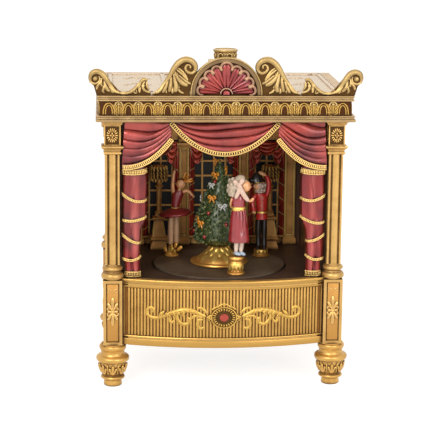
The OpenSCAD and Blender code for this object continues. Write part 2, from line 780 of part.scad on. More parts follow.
// Roof panel with a raised border strip and cross ribs
module roof_panel() {
    rim_w = 9.3;
    half_x = cornice_w / 2 - rim_w;
    half_y = cornice_d / 2 - rim_w;
    low = roof_z - roof_t - 0.6;
    color("antiquewhite") {
        box([-half_x, -half_y, low], [half_x, half_y, roof_z - 0.6]);
        pair(half_x * 0.5) box([-1.5, -half_y, roof_z - 0.7], [1.5, half_y, roof_z + 0.4]);
        pair(half_x - 1.5) box([-1.5, -half_y, roof_z - 0.7], [1.5, half_y, roof_z + 0.4]);
        box([-half_x, half_y - 3, roof_z - 0.7], [half_x, half_y, roof_z + 0.4]);
    }
}

arch_z = roof_z + arch_lift;

module half_disc(r) {
    intersection() {
        translate([0, arch_z]) circle(r = r, $fn = 96);
        translate([-2 * r, roof_z]) square([4 * r, 2 * r]);
    }
}

module pediment_arch() {
    inner_r = arch_r - arch_band;
    color(old_gold) {
        plate(crest_y + 3, arch_d - 3) half_disc(arch_r);
        plate(crest_y, 3 + eps) difference() {
            half_disc(arch_r);
            half_disc(inner_r);
        }
    }
}

module shell_fan() {
    inner_r = arch_r - arch_band - 0.4;
    step = 180 / (shell_lobes - 0.4);
    color(crimson) intersection() {
        union() {
            for (i = [0:shell_lobes - 1])
                plate(crest_y + 0.9, 2.1) translate([0, arch_z])
                    rotate((i - (shell_lobes - 1) / 2) * step) polygon(petal(inner_r, 3.3));
            translate([0, crest_y + 3, arch_z]) rotate([90, 0, 0]) cylinder(r = 4, h = 3, $fn = 32);
        }
        plate(crest_y - 5, 10) half_disc(inner_r);
    }
}

// One scroll crest: an inner volute by the arch, a leaf, a festoon, a corner volute
module crest(side) {
    inner_c = [arch_r + 1, roof_z + 20.8];
    outer_r = 6.5;
    outer_c = [crest_half - outer_r, roof_z + 13.3];
    foot_x = arch_r + 26;
    leaf_c = [foot_x + 8, roof_z + 5.5];
    color(gold) scale([side, 1, 1]) difference() {
        union() {
            plate(crest_y + 1.4, crest_d - 1.4) {
                translate(inner_c) circle(r = 7.4);
                polygon([inner_c + [-9, -20.8], inner_c + [-9, 0], inner_c + [6, 5],
                    inner_c + [11, -1], inner_c + [15, -9], inner_c + [19.5, -15],
                    [foot_x, roof_z + 1.4], [foot_x, roof_z]]);
                polygon([[foot_x + 3, roof_z], leaf_c + [-3.4, 0], leaf_c + [0, 3.6],
                    leaf_c + [3.6, 1], [foot_x + 12, roof_z]]);
                polygon(concat(
                    [for (t = [-1:0.2:1.01]) [leaf_c[0] + 11 + 9 * t, roof_z + 1.6 + 4.4 * t * t]],
                    [leaf_c + [20, -5.5], leaf_c + [2, -5.5]]));
                polygon([outer_c + [-15.6, -13.3], outer_c + [-15.6, -11.6], outer_c + [-11, -7],
                    outer_c + [-8, -2], outer_c + [-4, 4], outer_c + [4, -5],
                    outer_c + [0, -7], outer_c + [-3.2, -13.3]]);
                translate(outer_c) circle(r = outer_r);
            }
            plate(crest_y, 1.4 + eps) {
                polygon(strip(spiral(inner_c, 20, 520, 6.8, 1.6, 1.2, 0.8, 36)));
                polygon(strip([for (t = [0:0.1:1.01]) [inner_c[0] + 5 + 20 * t,
                    inner_c[1] + 4.6 - 24 * sin(90 * t), 1.6]]));
                polygon(strip(spiral(outer_c, 160, -340, outer_r - 1.2, 1.4, 1.2, 0.8, 36)));
            }
        }
        translate([0, crest_y - 5, arch_z]) rotate([-90, 0, 0]) cylinder(r = arch_r + 0.2, h = 30, $fn = 96);
        box([0, crest_y - 5, roof_z - 20], [200, crest_y + 20, roof_z]);
    }
}

plinth_y = crest_y + arch_d;
finial_y = plinth_y + finial_r + 0.2;
finial_z = roof_z + plinth_h;

module crown_plinth() {
    half = finial_r + 3;
    color(old_gold) difference() {
        box([-half, plinth_y, roof_z], [half, finial_y + finial_r + 1, finial_z]);
        pair(half + 4) translate([0, plinth_y - 1, finial_z - 2]) rotate([-90, 0, 0])
            cylinder(r = 8, h = 40);
    }
}

// Crown finial with arched recesses round its side and a spigot
module crown_finial() {
    arches = 9;
    color(gold) translate([0, finial_y, finial_z]) difference() {
        rotate_extrude($fn = 64) polygon([
            [0, 0], [finial_r * 0.86, 0], [finial_r * 0.8, 1.2], [finial_r * 0.84, finial_h - 2.4],
            [finial_r, finial_h - 1.4], [finial_r, finial_h - 0.3], [finial_r * 0.94, finial_h], [0, finial_h]]);
        for (i = [0:arches - 1]) rotate((i + 0.5) * 360 / arches)
            translate([finial_r * 0.66, -1.3, 1.4]) cube([finial_r, 2.6, finial_h - 4.6]);
    }
}

// Bedplate with its legs, arbor brackets, governor cock, comb seat and rod guide
module movement_frame() {
    comb_seat_y = [comb_y - 24, comb_y - 15];
    color("lightslategray") difference() {
        union() {
            box([-19, table_y - 30, bed_z], [governor_x + 8, table_y + 34, bed_top]);
            at_movement_legs() translate([0, 0, board_top]) cylinder(r = 3.5, h = leg_h + eps);
            for (x = [inner_bracket_x, outer_bracket_x])
                box([x, table_y - 3, bed_top - eps], [x + bracket_t, idler_y + 1.9, music_z + 3]);
            box([governor_x + 5.4, governor_y - 2, bed_top - eps],
                [governor_x + 7.4, governor_y + 2, governor_top + 2]);
            box([governor_x - 2, governor_y - 2, governor_top],
                [governor_x + 7.4, governor_y + 2, governor_top + 2]);
            box([music_x, comb_seat_y[0], bed_top - eps], [music_x + music_len, comb_seat_y[1], music_z - 0.4]);
            box([governor_x - 3, table_y + 31, bed_top - eps], [governor_x + 3, table_y + 34, stop_z + 3]);
        }
        translate([0, table_y, bed_z - 1]) cylinder(r = spindle_r + run_clear, h = bed_t + 2);
        at_movement_legs() translate([0, 0, board_top - 1]) cylinder(r = 1.25, h = leg_h + bed_t + 2, $fn = 24);
        translate([0, table_y, music_z]) rotate([0, 90, 0]) cylinder(r = arbor_r + run_clear, h = 80);
        translate([inner_bracket_x - 1, idler_y, idler_z]) rotate([0, 90, 0])
            cylinder(r = arbor_r + run_clear, h = outer_bracket_x - inner_bracket_x + bracket_t + 1.5);
        translate([governor_x, governor_y, bed_z - 1])
            cylinder(r = pivot_r + run_clear, h = bed_t + 2, $fn = 24);
        translate([governor_x, governor_y, governor_top - 1])
            cylinder(r = pivot_r + run_clear, h = 4, $fn = 24);
        translate([governor_x, table_y + 35, stop_z]) rotate([90, 0, 0])
            cylinder(r = 1.5 + run_clear, h = 5);
        for (x = comb_screw_x) translate([x, comb_y - 19.5, bed_top + 4])
            cylinder(r = 1.05, h = 40, $fn = 24);
    }
}

comb_screw_x = [music_x + 4, music_x + music_len - 4];

module spring_drum() {
    color("silver") translate([0, table_y, 0]) difference() {
        union() {
            translate([0, 0, bed_top]) cylinder(r = drum_r, h = drum_h, $fn = 96);
            translate([0, 0, drum_top - eps]) cylinder(r = spindle_r + 2, h = drum_boss + eps);
        }
        translate([0, 0, bed_top - 1]) cylinder(r = drum_r - 1, h = drum_h - drum_cap + 1, $fn = 96);
        translate([0, 0, bed_top]) cylinder(r = spindle_r + run_clear, h = drum_h + 5);
    }
}

// Coiled spring strip between the arbor and the drum's wall
module mainspring() {
    turns = 6;
    strip_t = 0.6;
    r0 = spindle_r + 0.8;
    r1 = drum_r - 1.1 - strip_t;
    steps = turns * 16;
    function edge(i, out) = let (t = i / steps, r = r0 + (r1 - r0) * t + out, a = 360 * turns * t)
        [r * cos(a), r * sin(a)];
    color("steelblue") translate([0, table_y, bed_top + 0.6]) linear_extrude(drum_h - drum_cap - 1.4)
        polygon(concat([for (i = [0:steps]) edge(i, 0)], [for (i = [steps:-1:0]) edge(i, strip_t)]));
}

// Steel comb: a thick heel and one tooth for each note
module comb() {
    pitch = (music_len - 2) / notes;
    tooth_w = pitch * 0.72;
    color("lightsteelblue") difference() {
        union() {
            box([music_x + 0.5, comb_y - 24, music_z - 0.4], [music_x + music_len - 0.5, comb_y - 13, music_z + 1.4]);
            for (i = [0:notes - 1]) {
                x = music_x + 1 + (i + 0.5) * pitch;
                box([x - tooth_w / 2, comb_y - 13 - eps, music_z - 0.35],
                    [x + tooth_w / 2, comb_y, music_z + 0.35]);
            }
        }
        for (x = comb_screw_x) translate([x, comb_y - 19.5, music_z - 1]) cylinder(r = 1.25, h = 4, $fn = 24);
    }
}

module comb_screws() {
    color("silver") for (x = comb_screw_x) translate([x, comb_y - 19.5, music_z + 1.4]) {
        cylinder(r = 2, h = 1.2, $fn = 24);
        translate([0, 0, -8]) cylinder(r = 1, h = 8, $fn = 24);
    }
}

// Flanged bush that carries the turntable, in the floor's tray
module spindle_bush() {
    color("peru") translate([0, table_y, 0]) difference() {
        union() {
            translate([0, 0, tray_z]) cylinder(r = 4.5 - 0.03, h = recess_z - tray_z);
            translate([0, 0, tray_z - 1.4]) cylinder(r = 6.5, h = 1.4);
        }
        translate([0, 0, tray_z - 3]) cylinder(r = spindle_r + run_clear, h = 10);
    }
}

module spindle() {
    color("silver") translate([0, table_y, drum_top - 1.3])
        cylinder(r = spindle_r, h = table_top - 0.8 - drum_top + 1.3);
}

// Crown wheel: a disc with upright teeth round its rim, and a hub
module crown_wheel() {
    tooth_w = 0.8;
    tooth_l = 2.4;
    color("gold") translate([0, table_y, wheel_z]) difference() {
        union() {
            cylinder(r = crown_r + tooth_l / 2 + 0.2, h = wheel_t, $fn = 96);
            cylinder(r = spindle_r + 2.5, h = wheel_t + 4);
            for (i = [0:crown_teeth - 1]) rotate((i + 0.5) * 360 / crown_teeth)
                translate([crown_r - tooth_l / 2, -tooth_w / 2, wheel_t - eps])
                    cube([tooth_l, tooth_w, 1 + crown_addendum]);
        }
        translate([0, 0, -1]) cylinder(r = spindle_r + 0.01, h = 20);
    }
}

module turntable() {
    color("dimgray") translate([0, table_y, 0]) difference() {
        union() {
            translate([0, 0, table_z]) cylinder(r = table_r, h = table_t, $fn = 128);
            translate([0, 0, recess_z + 0.1]) cylinder(r = 4.2, h = table_gap);
        }
        translate([0, 0, recess_z - 1]) cylinder(r = spindle_r + 0.01, h = table_top - 0.7 - recess_z + 1);
    }
}

module on_table(orbit, angle) {
    translate([0, table_y, table_top]) rotate(angle) translate([orbit, 0, 0]) rotate(-angle) children();
}

// Stepped round stand under the tree
module tree_stand() {
    h = stand_h;
    color(gold) on_table(0, 0) rotate_extrude($fn = 64) polygon([
        [0, 0], [stand_r - 0.6, 0], [stand_r, 0.8], [stand_r, 1.6], [stand_r - 2, 3.4],
        [stand_r - 6, 4.8], [stand_r - 7, 6.4], [stand_r - 10, 7.4], [stand_r - 11, h * 0.7],
        [stand_r - 15, h * 0.85], [3, h], [0, h]]);
}

// Tree of five tapering tiers
module tree() {
    tiers = 5;
    step = tree_h / (tiers + 0.6);
    color("darkgreen") on_table(0, 0) translate([0, 0, stand_h]) {
        for (i = [0:tiers - 1]) translate([0, 0, i * step + (i == 0 ? 0 : 1)])
            cylinder(r1 = tree_r * (1 - i / (tiers + 0.8)), r2 = tree_r * 0.5 * (1 - i / tiers),
                h = step * 1.25, $fn = 32);
        cylinder(r1 = 2, r2 = 1, h = tree_h);
    }
}

// Lathe-turned limb from point a to point b
module limb(a, b, r0, r1) {
    d = b - a;
    len = norm(d);
    translate(a) rotate([0, acos(d[2] / len), atan2(d[1], d[0])]) cylinder(r1 = r0, r2 = r1, h = len, $fn = 24);
}

// Dancer on a small foot, with raised arms and a short stiff skirt
module ballerina() {
    color("maroon") on_table(figure_orbit, 144.5) scale(dancer_h / 68) {
        cylinder(r1 = 5, r2 = 4, h = 2.4);
        translate([0, 0, 2.4]) cylinder(r1 = 2.6, r2 = 1.6, h = 6.1);
        translate([0, 0, 8.4]) cylinder(r1 = 3.9, r2 = 4.7, h = 24);
        translate([0, 0, 32]) cylinder(r1 = 12.4, r2 = 3.6, h = 6.5);
        translate([0, 0, 38.4]) cylinder(r1 = 3.4, r2 = 4.2, h = 11);
        translate([0, 0, 49.3]) cylinder(r = 1.5, h = 3.5);
        translate([0, 0, 55.4]) sphere(r = 3.8);
        limb([-3, 0, 48.5], [-6, 0, 57], 1.4, 1.2);
        limb([-6, 0, 56], [-3, 0, 68], 1.2, 0.9);
        limb([3, 0, 48.5], [7.6, 0, 54], 1.4, 1.2);
        limb([7.4, 0, 53], [5.4, 0, 64], 1.2, 0.9);
    }
}

// Standing doll in a long dress on a small pedestal
module party_doll() {
    color(crimson) on_table(figure_orbit - 1.7, -74) scale(doll_h / 77.6) {
        cylinder(r1 = 6, r2 = 5, h = 3);
        translate([0, 0, 2.9]) cylinder(r1 = 4.4, r2 = 3.6, h = 9.2);
        translate([0, 0, 12]) cylinder(r = 4.6, h = 2.1);
        pair(1.9) translate([0, 0, 14]) cylinder(r = 1.5, h = 11);
        translate([0, 0, 24.6]) cylinder(r1 = 8.8, r2 = 5, h = 24.1);
        translate([0, 0, 48.6]) cylinder(r1 = 4.6, r2 = 5, h = 12.1);
        translate([0, 0, 60.6]) cylinder(r1 = 5, r2 = 2, h = 5);
        translate([0, 0, 71]) sphere(r = 6.6);
        limb([-4.4, 0, 59], [-8.4, -1, 47], 1.7, 1.3);
        limb([4.4, 0, 59], [8.4, -1, 50], 1.7, 1.3);
    }
}

// Standing soldier with a tall hat and one arm raised
module toy_soldier() {
    color(crimson) on_table(figure_orbit - 0.5, 31) scale(soldier_h / 69) {
        cylinder(r1 = 6, r2 = 5, h = 2.6);
        pair(2) translate([0, 0, 2.5]) cylinder(r1 = 2, r2 = 2.4, h = 22);
        translate([0, 0, 24]) cylinder(r1 = 6, r2 = 4.4, h = 10.1);
        translate([0, 0, 34]) cylinder(r1 = 4.4, r2 = 5.2, h = 14.1);
        translate([0, 0, 48]) cylinder(r = 1.8, h = 2);
        translate([0, 0, 53]) sphere(r = 4.4);
        translate([0, 0, 56]) cylinder(r1 = 4.2, r2 = 4.8, h = 11.5);
        limb([-4.6, 0, 46.5], [-7.6, -1.5, 36], 1.6, 1.3);
        limb([4.6, 0, 46.5], [8.8, 0, 56], 1.6, 1.3);
        limb([8.6, 0, 55], [6.4, 0, 69], 1.3, 1.1);
    }
}

// Butterfly key under the base
module winding_key() {
    color("gold") translate([0, table_y, key_z]) difference() {
        union() {
            cylinder(r = 3.4, h = key_h + 3);
            pair(key_w / 4) translate([0, 1.2, key_h / 2]) rotate([90, 0, 0])
                cylinder(r = key_h / 2, h = 2.4);
        }
        translate([0, 0, 4]) cylinder(r = spindle_r + 0.01, h = 20);
        pair(key_w / 4 + 0.4) translate([0, 3, key_h / 2]) rotate([90, 0, 0])
            cylinder(r = key_h / 4, h = 6);
    }
}

module winding_arbor() {
    color("silver") translate([0, table_y, key_z + 4.2])
        cylinder(r = spindle_r, h = drum_top - drum_cap - 0.4 - key_z - 4.2);
}

// Pinned cylinder; the pins' places spiral round so that each note plays in turn
module music_cylinder() {
    pitch = (music_len - 2) / notes;
    rounds = 4;
    color("gold") translate([music_x, table_y, music_z]) rotate([0, 90, 0]) difference() {
        union() {
            cylinder(r = music_r, h = music_len, $fn = 64);
            for (i = [0:notes * rounds - 1]) rotate(15 + i * 137.5)
                translate([music_r - 0.2, 0, 1 + (i % notes + 0.5) * pitch]) rotate([0, 90, 0])
                    cylinder(r = 0.22, h = 0.65, $fn = 6);
        }
        translate([0, 0, -1]) cylinder(r = arbor_r + 0.01, h = music_len + 2, $fn = 32);
    }
}

// Spur gear in the XY plane; tooth widths leave room to run
module spur(r, teeth, add, ded, w, root_w, tip_w) {
    cylinder(r = r - ded, h = w, $fn = 64);
    for (i = [0:teeth - 1]) rotate(i * 360 / teeth) linear_extrude(w)
        polygon([[r - ded - 0.2, -root_w / 2], [r + add, -tip_w / 2], [r + add, tip_w / 2],
            [r - ded - 0.2, root_w / 2]]);
}

// Arbor of the cylinder with the crown pinion and the end gear
module cylinder_arbor() {
    color("darkkhaki") translate([0, table_y, music_z]) rotate([0, 90, 0]) {
        translate([0, 0, crown_r - pinion_w / 2])
            spur(crown_pinion_r, crown_pinion_teeth, 0.6, 0.8, pinion_w, 0.9, 0.45);
        translate([0, 0, crown_r - 1.4])
            cylinder(r = arbor_r, h = outer_bracket_x + bracket_t + 0.3 - crown_r + 1.4, $fn = 32);
        translate([0, 0, end_gear_x])
            spur(end_gear_r, end_gear_teeth, 0.4, 0.6, gear_w, 0.7, 0.35);
    }
}

// Idler: pinion in mesh with the cylinder's end gear, and a worm wheel
module idler() {
    mesh_angle = 90 - idler_drop;
    mesh_turn = mesh_angle * (1 + end_gear_teeth / idler_pinion_teeth) + 180 - 180 / idler_pinion_teeth;
    worm_side_turn = 90;
    color("khaki") translate([0, idler_y, idler_z]) rotate([0, 90, 0]) {
        translate([0, 0, inner_bracket_x + 0.2])
            cylinder(r = arbor_r, h = worm_wheel_x + 1.6 - inner_bracket_x - 0.2, $fn = 32);
        translate([0, 0, end_gear_x - 0.1]) rotate(mesh_turn)
            spur(idler_pinion_r, idler_pinion_teeth, 0.4, 0.6, gear_w + 0.2, 0.6, 0.32);
        translate([0, 0, worm_wheel_x]) rotate(worm_side_turn)
            spur(worm_wheel_r, worm_wheel_teeth, 0.4, 0.6, 1.2, 0.6, 0.3);
    }
}

// Governor: pivoted shaft with a two-start worm and a flat fly
module governor() {
    lead = PI * gear_module * worm_starts;
    worm_len = 7.2;
    thread_angle = 360 * 0.5 / lead;
    worm_turn = -360 * (worm_len / 2) / lead;
    color("silver") translate([governor_x, governor_y, 0]) {
        translate([0, 0, bed_top - 1]) cylinder(r = pivot_r, h = governor_top + 1.2 - bed_top + 1, $fn = 24);
        translate([0, 0, fly_z]) cylinder(r = 1.3, h = fly_h, $fn = 24);
        box([-fly_r, -0.25, fly_z], [fly_r, 0.25, fly_z + fly_h]);
        translate([0, 0, idler_z - worm_len / 2])
            linear_extrude(height = worm_len, twist = -360 * worm_len / lead, slices = 36) union() {
                circle(r = worm_r - 0.6, $fn = 24);
                for (k = [0:worm_starts - 1]) rotate(k * 360 / worm_starts + worm_turn)
                    polygon(concat([[0, 0]], [for (s = [-0.5:0.25:0.5])
                        [(worm_r + 0.4) * cos(s * thread_angle), (worm_r + 0.4) * sin(s * thread_angle)]]));
            }
    }
}

// Stop rod: pushed in, its tip reaches the fly's path; the knob is at the rear
module stop_rod() {
    tip = governor_y + fly_r + 0.3 + stop_travel;
    knob_y = base_back + stop_travel + 0.3;
    color("silver") translate([governor_x, 0, stop_z]) rotate([-90, 0, 0]) {
        translate([0, 0, tip]) cylinder(r = 1.5, h = knob_y + 1 - tip);
    }
    color("gold") translate([governor_x, knob_y, stop_z]) rotate([-90, 0, 0])
        cylinder(r = 3.2, h = back_y - knob_y);
}

at_post(-1, false) foot();  // foot_front_left
at_post(1, false) foot();  // foot_front_right
translate([-rear_foot_x, rear_foot_y, 0]) foot();  // foot_rear_left
translate([rear_foot_x, rear_foot_y, 0]) foot();  // foot_rear_right
at_post(-1, false) post([0, -90]);  // post_front_left
at_post(1, false) post([0, 90]);  // post_front_right
at_post(-1, true) post([-90]);  // post_rear_left
at_post(1, true) post([90]);  // post_rear_right
base_housing();
bottom_board();
board_screws();
movement_screws();
apron_scrollwork();
apron_medallion();
apron_jewel();
stage_floor();
back_wall();
side_wall(-1);  // side_wall_left
side_wall(1);  // side_wall_right
side_relief(-1);  // side_relief_left
side_relief(1);  // side_relief_right
window_frames();
window_panes();
window_drapes();
torchere(-1);  // torchere_left
torchere(1);  // torchere_right
centre_swag();
side_swag(-1);  // swag_left
side_swag(1);  // swag_right
curtain(-1);  // curtain_left
curtain(1);  // curtain_right
cornice();
roof_panel();
pediment_arch();
shell_fan();
crest(-1);  // crest_left
crest(1);  // crest_right
crown_plinth();
crown_finial();
movement_frame();
spring_drum();
mainspring();
comb();
comb_screws();
spindle_bush();
spindle();
crown_wheel();
turntable();
tree_stand();
tree();
ballerina();
party_doll();
toy_soldier();
winding_key();
winding_arbor();
music_cylinder();
cylinder_arbor();
idler();
governor();
stop_rod();
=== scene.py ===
# A gilt musical toy theatre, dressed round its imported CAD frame. Pieces are modelled
# in millimetres, in the CAD's own places, and settle() brings each one to metres.
import math
import random

import bpy
from mathutils import Matrix, Vector


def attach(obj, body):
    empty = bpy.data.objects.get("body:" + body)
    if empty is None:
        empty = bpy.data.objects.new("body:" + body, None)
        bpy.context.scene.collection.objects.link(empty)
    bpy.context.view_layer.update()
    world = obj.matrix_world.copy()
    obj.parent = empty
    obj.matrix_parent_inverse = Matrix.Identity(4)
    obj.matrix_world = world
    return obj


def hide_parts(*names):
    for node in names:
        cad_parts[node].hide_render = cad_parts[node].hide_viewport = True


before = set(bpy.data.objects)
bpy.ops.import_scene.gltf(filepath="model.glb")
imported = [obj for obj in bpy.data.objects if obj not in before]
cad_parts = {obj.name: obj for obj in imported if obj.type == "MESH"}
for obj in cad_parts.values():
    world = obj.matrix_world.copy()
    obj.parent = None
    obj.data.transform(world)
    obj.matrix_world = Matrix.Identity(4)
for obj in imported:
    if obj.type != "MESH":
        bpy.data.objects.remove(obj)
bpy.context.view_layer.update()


# The view, the light and the floor
# A long lens a little over a metre in front, slightly to the left and above; two soft
# lamps in front and a weaker one behind; a pale floor that keeps a faint shadow.

def ink(red, green, blue):
    """A colour as it is seen on a screen, 0 to 255, as the shader needs it."""
    return tuple(((c / 255 + 0.055) / 1.055) ** 2.4 if c > 10 else c / 3294
                 for c in (red, green, blue))


class Value:
    """A number from a shader node, so that finishes are written as plain sums."""

    def __init__(self, finish, socket):
        self.finish, self.socket = finish, socket

    def sum(self, operation, *terms):
        return self.finish.node("Math", terms, operation=operation)

    def __add__(self, other):
        return self.sum("ADD", self, other)

    def __sub__(self, other):
        return self.sum("SUBTRACT", self, other)

    def __rsub__(self, other):
        return self.sum("SUBTRACT", other, self)

    def __mul__(self, other):
        return self.sum("MULTIPLY", self, other)

    def __gt__(self, other):
        return self.sum("GREATER_THAN", self, other)

    def __lt__(self, other):
        return self.sum("LESS_THAN", self, other)

    def __abs__(self):
        return self.sum("ABSOLUTE", self)

    __radd__ = __add__
    __rmul__ = __mul__

    def kept(self):
        """The number held between 0 and 1."""
        return self.finish.node("Clamp", (self,))


class Finish:
    """One painted or plated finish, or the sky's light, made node by node."""

    def __init__(self, name, sky=None):
        self.material = sky or bpy.data.materials.new(name)
        self.material.use_nodes = True
        self.tree = self.material.node_tree
        if not sky:
            self.shader = self.tree.nodes["Principled BSDF"]
            self.place = self.node("TexCoord", out="Object")

    def link(self, value, socket):
        """Gives a socket a number, a colour or another node's value."""
        if isinstance(value, Value):
            self.tree.links.new(value.socket, socket)
        elif socket.type == "RGBA":
            socket.default_value = (*value, 1)
        else:
            socket.default_value = value

    def node(self, kind, fill=(), out=0, **settings):
        """A node of a kind: its settings first, then what fills its sockets."""
        made = self.tree.nodes.new("ShaderNode" + kind)
        for setting, value in settings.items():
            setattr(made, setting, value)
        for key, value in fill.items() if isinstance(fill, dict) else enumerate(fill):
            self.link(value, made.inputs[key])
        return Value(self, made.outputs[out])

    def noise(self, scale, detail=2.0):
        """A cloudy value about 0.5, with this many clouds to the metre."""
        return self.node("TexNoise", {"Vector": self.place, "Scale": scale, "Detail": detail})

    def along(self, axis):
        """How far along the object's X, Y or Z axis a point lies, in metres."""
        return self.node("SeparateXYZ", (self.place,), out="XYZ".index(axis))

    def blend(self, mask, low, high):
        """The colour low where the mask is 0, high where it is 1."""
        return self.node("Mix", {0: mask, 6: low, 7: high}, out=2, data_type="RGBA")

    def cover(self, reach, inside=False):
        """1 on open surfaces, less in hollows no wider than reach; inside, less at edges."""
        return self.node("AmbientOcclusion", {"Distance": reach}, out="AO",
                         samples=8, inside=inside)

    def relief(self, height, depth):
        """Fine relief for the Normal socket, this many metres deep."""
        return self.node("Bump", {"Height": height, "Distance": depth})

    def seen(self):
        """1 where the lens sees a thing, straight, in gloss or through glass, and 0 as light."""
        camera_ray, glossy_ray, clear_ray = (
            self.node("LightPath", out=name)
            for name in ("Is Camera Ray", "Is Glossy Ray", "Is Transmission Ray"))
        return (camera_ray + glossy_ray + clear_ray).kept()

    def put(self, **sockets):
        """Fills the shader's sockets and returns the finished material."""
        for name, value in sockets.items():
            self.link(value, self.shader.inputs[name.replace("_", " ")])
        return self.material


camera_place = (-0.0885, -1.2619, 0.3798)
yaw, pitch, roll = 0.071, 0.207, 0.011
lens, film_width = 136.86, 36
bpy.ops.object.camera_add(location=camera_place)
camera = bpy.context.object
look = Vector((math.sin(yaw) * math.cos(pitch), math.cos(yaw) * math.cos(pitch), -math.sin(pitch)))
level = Vector((math.cos(yaw), -math.sin(yaw), 0))
rise = level.cross(look)
across = level * math.cos(roll) + rise * math.sin(roll)
upright = rise * math.cos(roll) - level * math.sin(roll)
camera.rotation_euler = Matrix((across, upright, -look)).transposed().to_euler()
camera.data.lens = lens
camera.data.sensor_width = film_width
camera.data.clip_end = 60
scene = bpy.context.scene
scene.camera = camera
scene.view_settings.view_transform = "Standard"


stage_middle = (0, 0, 0.12)


def soft_lamp(place, size, power):
    """A square lamp that shines at the middle of the stage."""
    bpy.ops.object.light_add(type="AREA", location=place)
    lamp = bpy.context.object
    lamp.data.size = size
    lamp.data.energy = power
    lamp.rotation_euler = (Vector(stage_middle) - Vector(place)).to_track_quat("-Z", "Y").to_euler()


soft_lamp((-0.6, -1.3, 0.85), 0.7, 11)
soft_lamp((0.7, -1.3, 0.5), 0.7, 6)
soft_lamp((0.1, 0.9, 1.0), 0.8, 3.5)

# The sky is white where it is seen, in the lens or in a reflection, and dimmer as light
sky_as_light = 0.55
scene.world = bpy.data.worlds.new("studio")
sky = Finish("studio", scene.world)
background = sky.tree.nodes["Background"]
sky.link((1, 1, 1), background.inputs["Color"])
sky.link(sky.seen() * (1 - sky_as_light) + sky_as_light, background.inputs["Strength"])

# The floor glows where it is seen, so that it stays pale round a faint shadow
floor_paint = Finish("pale_floor")
plain = floor_paint.node("BsdfDiffuse", {"Color": (0.8, 0.8, 0.8)})
glowing = floor_paint.node("AddShader", (
    floor_paint.node("Emission", {"Color": (1, 1, 1), "Strength": 0.82}),
    floor_paint.node("BsdfDiffuse", {"Color": (0.42, 0.42, 0.42)})))
floor_paint.link(floor_paint.node("MixShader", (floor_paint.seen(), plain, glowing)),
                 floor_paint.tree.nodes["Material Output"].inputs["Surface"])
bpy.ops.mesh.primitive_plane_add(size=60)
floor = bpy.context.object
floor.name = "studio_floor"
floor.data.materials.append(floor_paint.material)


# Turned feet
# Four feet of cast resin, shaped like turned ones: a plain toe, a ring, a flaring cup
# wrapped in leaves, a broad ring, a hollow neck and a collar under the post's block.

def clear():
    """Puts everything down, so that the next tool touches only what it makes."""
    if bpy.context.mode != "OBJECT":
        bpy.ops.object.mode_set(mode="OBJECT")
    bpy.ops.object.select_all(action="DESELECT")


def take_up(*pieces):
    """Selects only these pieces, the first one active."""
    clear()
    for piece in pieces:
        piece.select_set(True)
    bpy.context.view_layer.objects.active = pieces[0]


def whole(piece, smooth=35):
    """Closes seams, turns faces outwards and smooths all but the sharp edges."""
    take_up(piece)
    bpy.ops.object.mode_set(mode="EDIT")
    bpy.ops.mesh.select_all(action="SELECT")
    bpy.ops.mesh.remove_doubles(threshold=0.0005)
    bpy.ops.mesh.normals_make_consistent(inside=False)
    bpy.ops.object.mode_set(mode="OBJECT")
    bpy.ops.object.shade_smooth_by_angle(angle=math.radians(smooth))
    return piece


def put_at(piece, place):
    """Moves a piece's mesh by a matrix, or by (x, y, z)."""
    piece.data.transform(place if isinstance(place, Matrix) else Matrix.Translation(place))
    return piece


def turned(profile, at=(0, 0, 0), sides=64):
    """A solid turned on a lathe from a profile of (radius, height)."""
    clear()
    bpy.ops.mesh.primitive_plane_add(size=1)
    bpy.ops.object.mode_set(mode="EDIT")
    bpy.ops.mesh.merge(type="CENTER")
    bpy.ops.transform.translate(value=(profile[0][0], 0, profile[0][1]))
    for (r0, z0), (r1, z1) in zip(profile, profile[1:]):
        bpy.ops.mesh.extrude_region_move(
            TRANSFORM_OT_translate={"value": (r1 - r0, 0, z1 - z0)})
    bpy.ops.mesh.select_all(action="SELECT")
    bpy.ops.mesh.spin(steps=sides, angle=math.tau, center=(0, 0, 0), axis=(0, 0, 1))
    return put_at(whole(bpy.context.object), at)


def bud(length, width, thick, lean=0.0):
    """A rounded petal from the origin up Z, lying in the X-Z plane."""
    clear()
    bpy.ops.mesh.primitive_uv_sphere_add(segments=10, ring_count=6, radius=1)
    bpy.ops.object.mode_set(mode="EDIT")
    bpy.ops.transform.resize(value=(width / 2, thick / 2, length / 2))
    bpy.ops.transform.translate(value=(0, 0, length / 2))
    bpy.ops.object.mode_set(mode="OBJECT")
    petal = bpy.context.object
    for vertex in petal.data.vertices:  # fuller towards the tip
        share = vertex.co.z / length
        vertex.co.x *= 0.55 + 0.75 * share
    put_at(petal, tilt(lean))
    return whole(petal, 60)


def joined(pieces):
    """The pieces as one mesh."""
    take_up(*pieces)
    bpy.ops.object.join()
    return bpy.context.object


def repeated(piece, places):
    """A copy of a piece at each place, joined into one casting."""
    copies = []
    for place in places:
        copy = piece.copy()
        copy.data = piece.data.copy()
        bpy.context.collection.objects.link(copy)
        copies.append(put_at(copy, place))
    bpy.data.objects.remove(piece)
    return joined(copies)


def shift(x, y, z):
    """A move by (x, y, z)."""
    return Matrix.Translation((x, y, z))


def turn_z(angle):
    """A turn about the upright axis."""
    return Matrix.Rotation(angle, 4, "Z")


def tilt(angle):
    """A lean about the axis from front to back, to the right for an upright piece."""
    return Matrix.Rotation(angle, 4, "Y")


def ring_turns(count, start=0.0):
    """The angles of so many like places round a full turn, the first at start steps."""
    return [(k + start) * math.tau / count for k in range(count)]


def settle(piece, name, finish, body="theatre"):
    """Brings a piece to metres, paints it and lets it ride on its body."""
    put_at(piece, Matrix.Scale(0.001, 4))
    piece.name = piece.data.name = name
    piece.data.materials.clear()
    piece.data.materials.append(finish)
    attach(piece, body)
    return piece


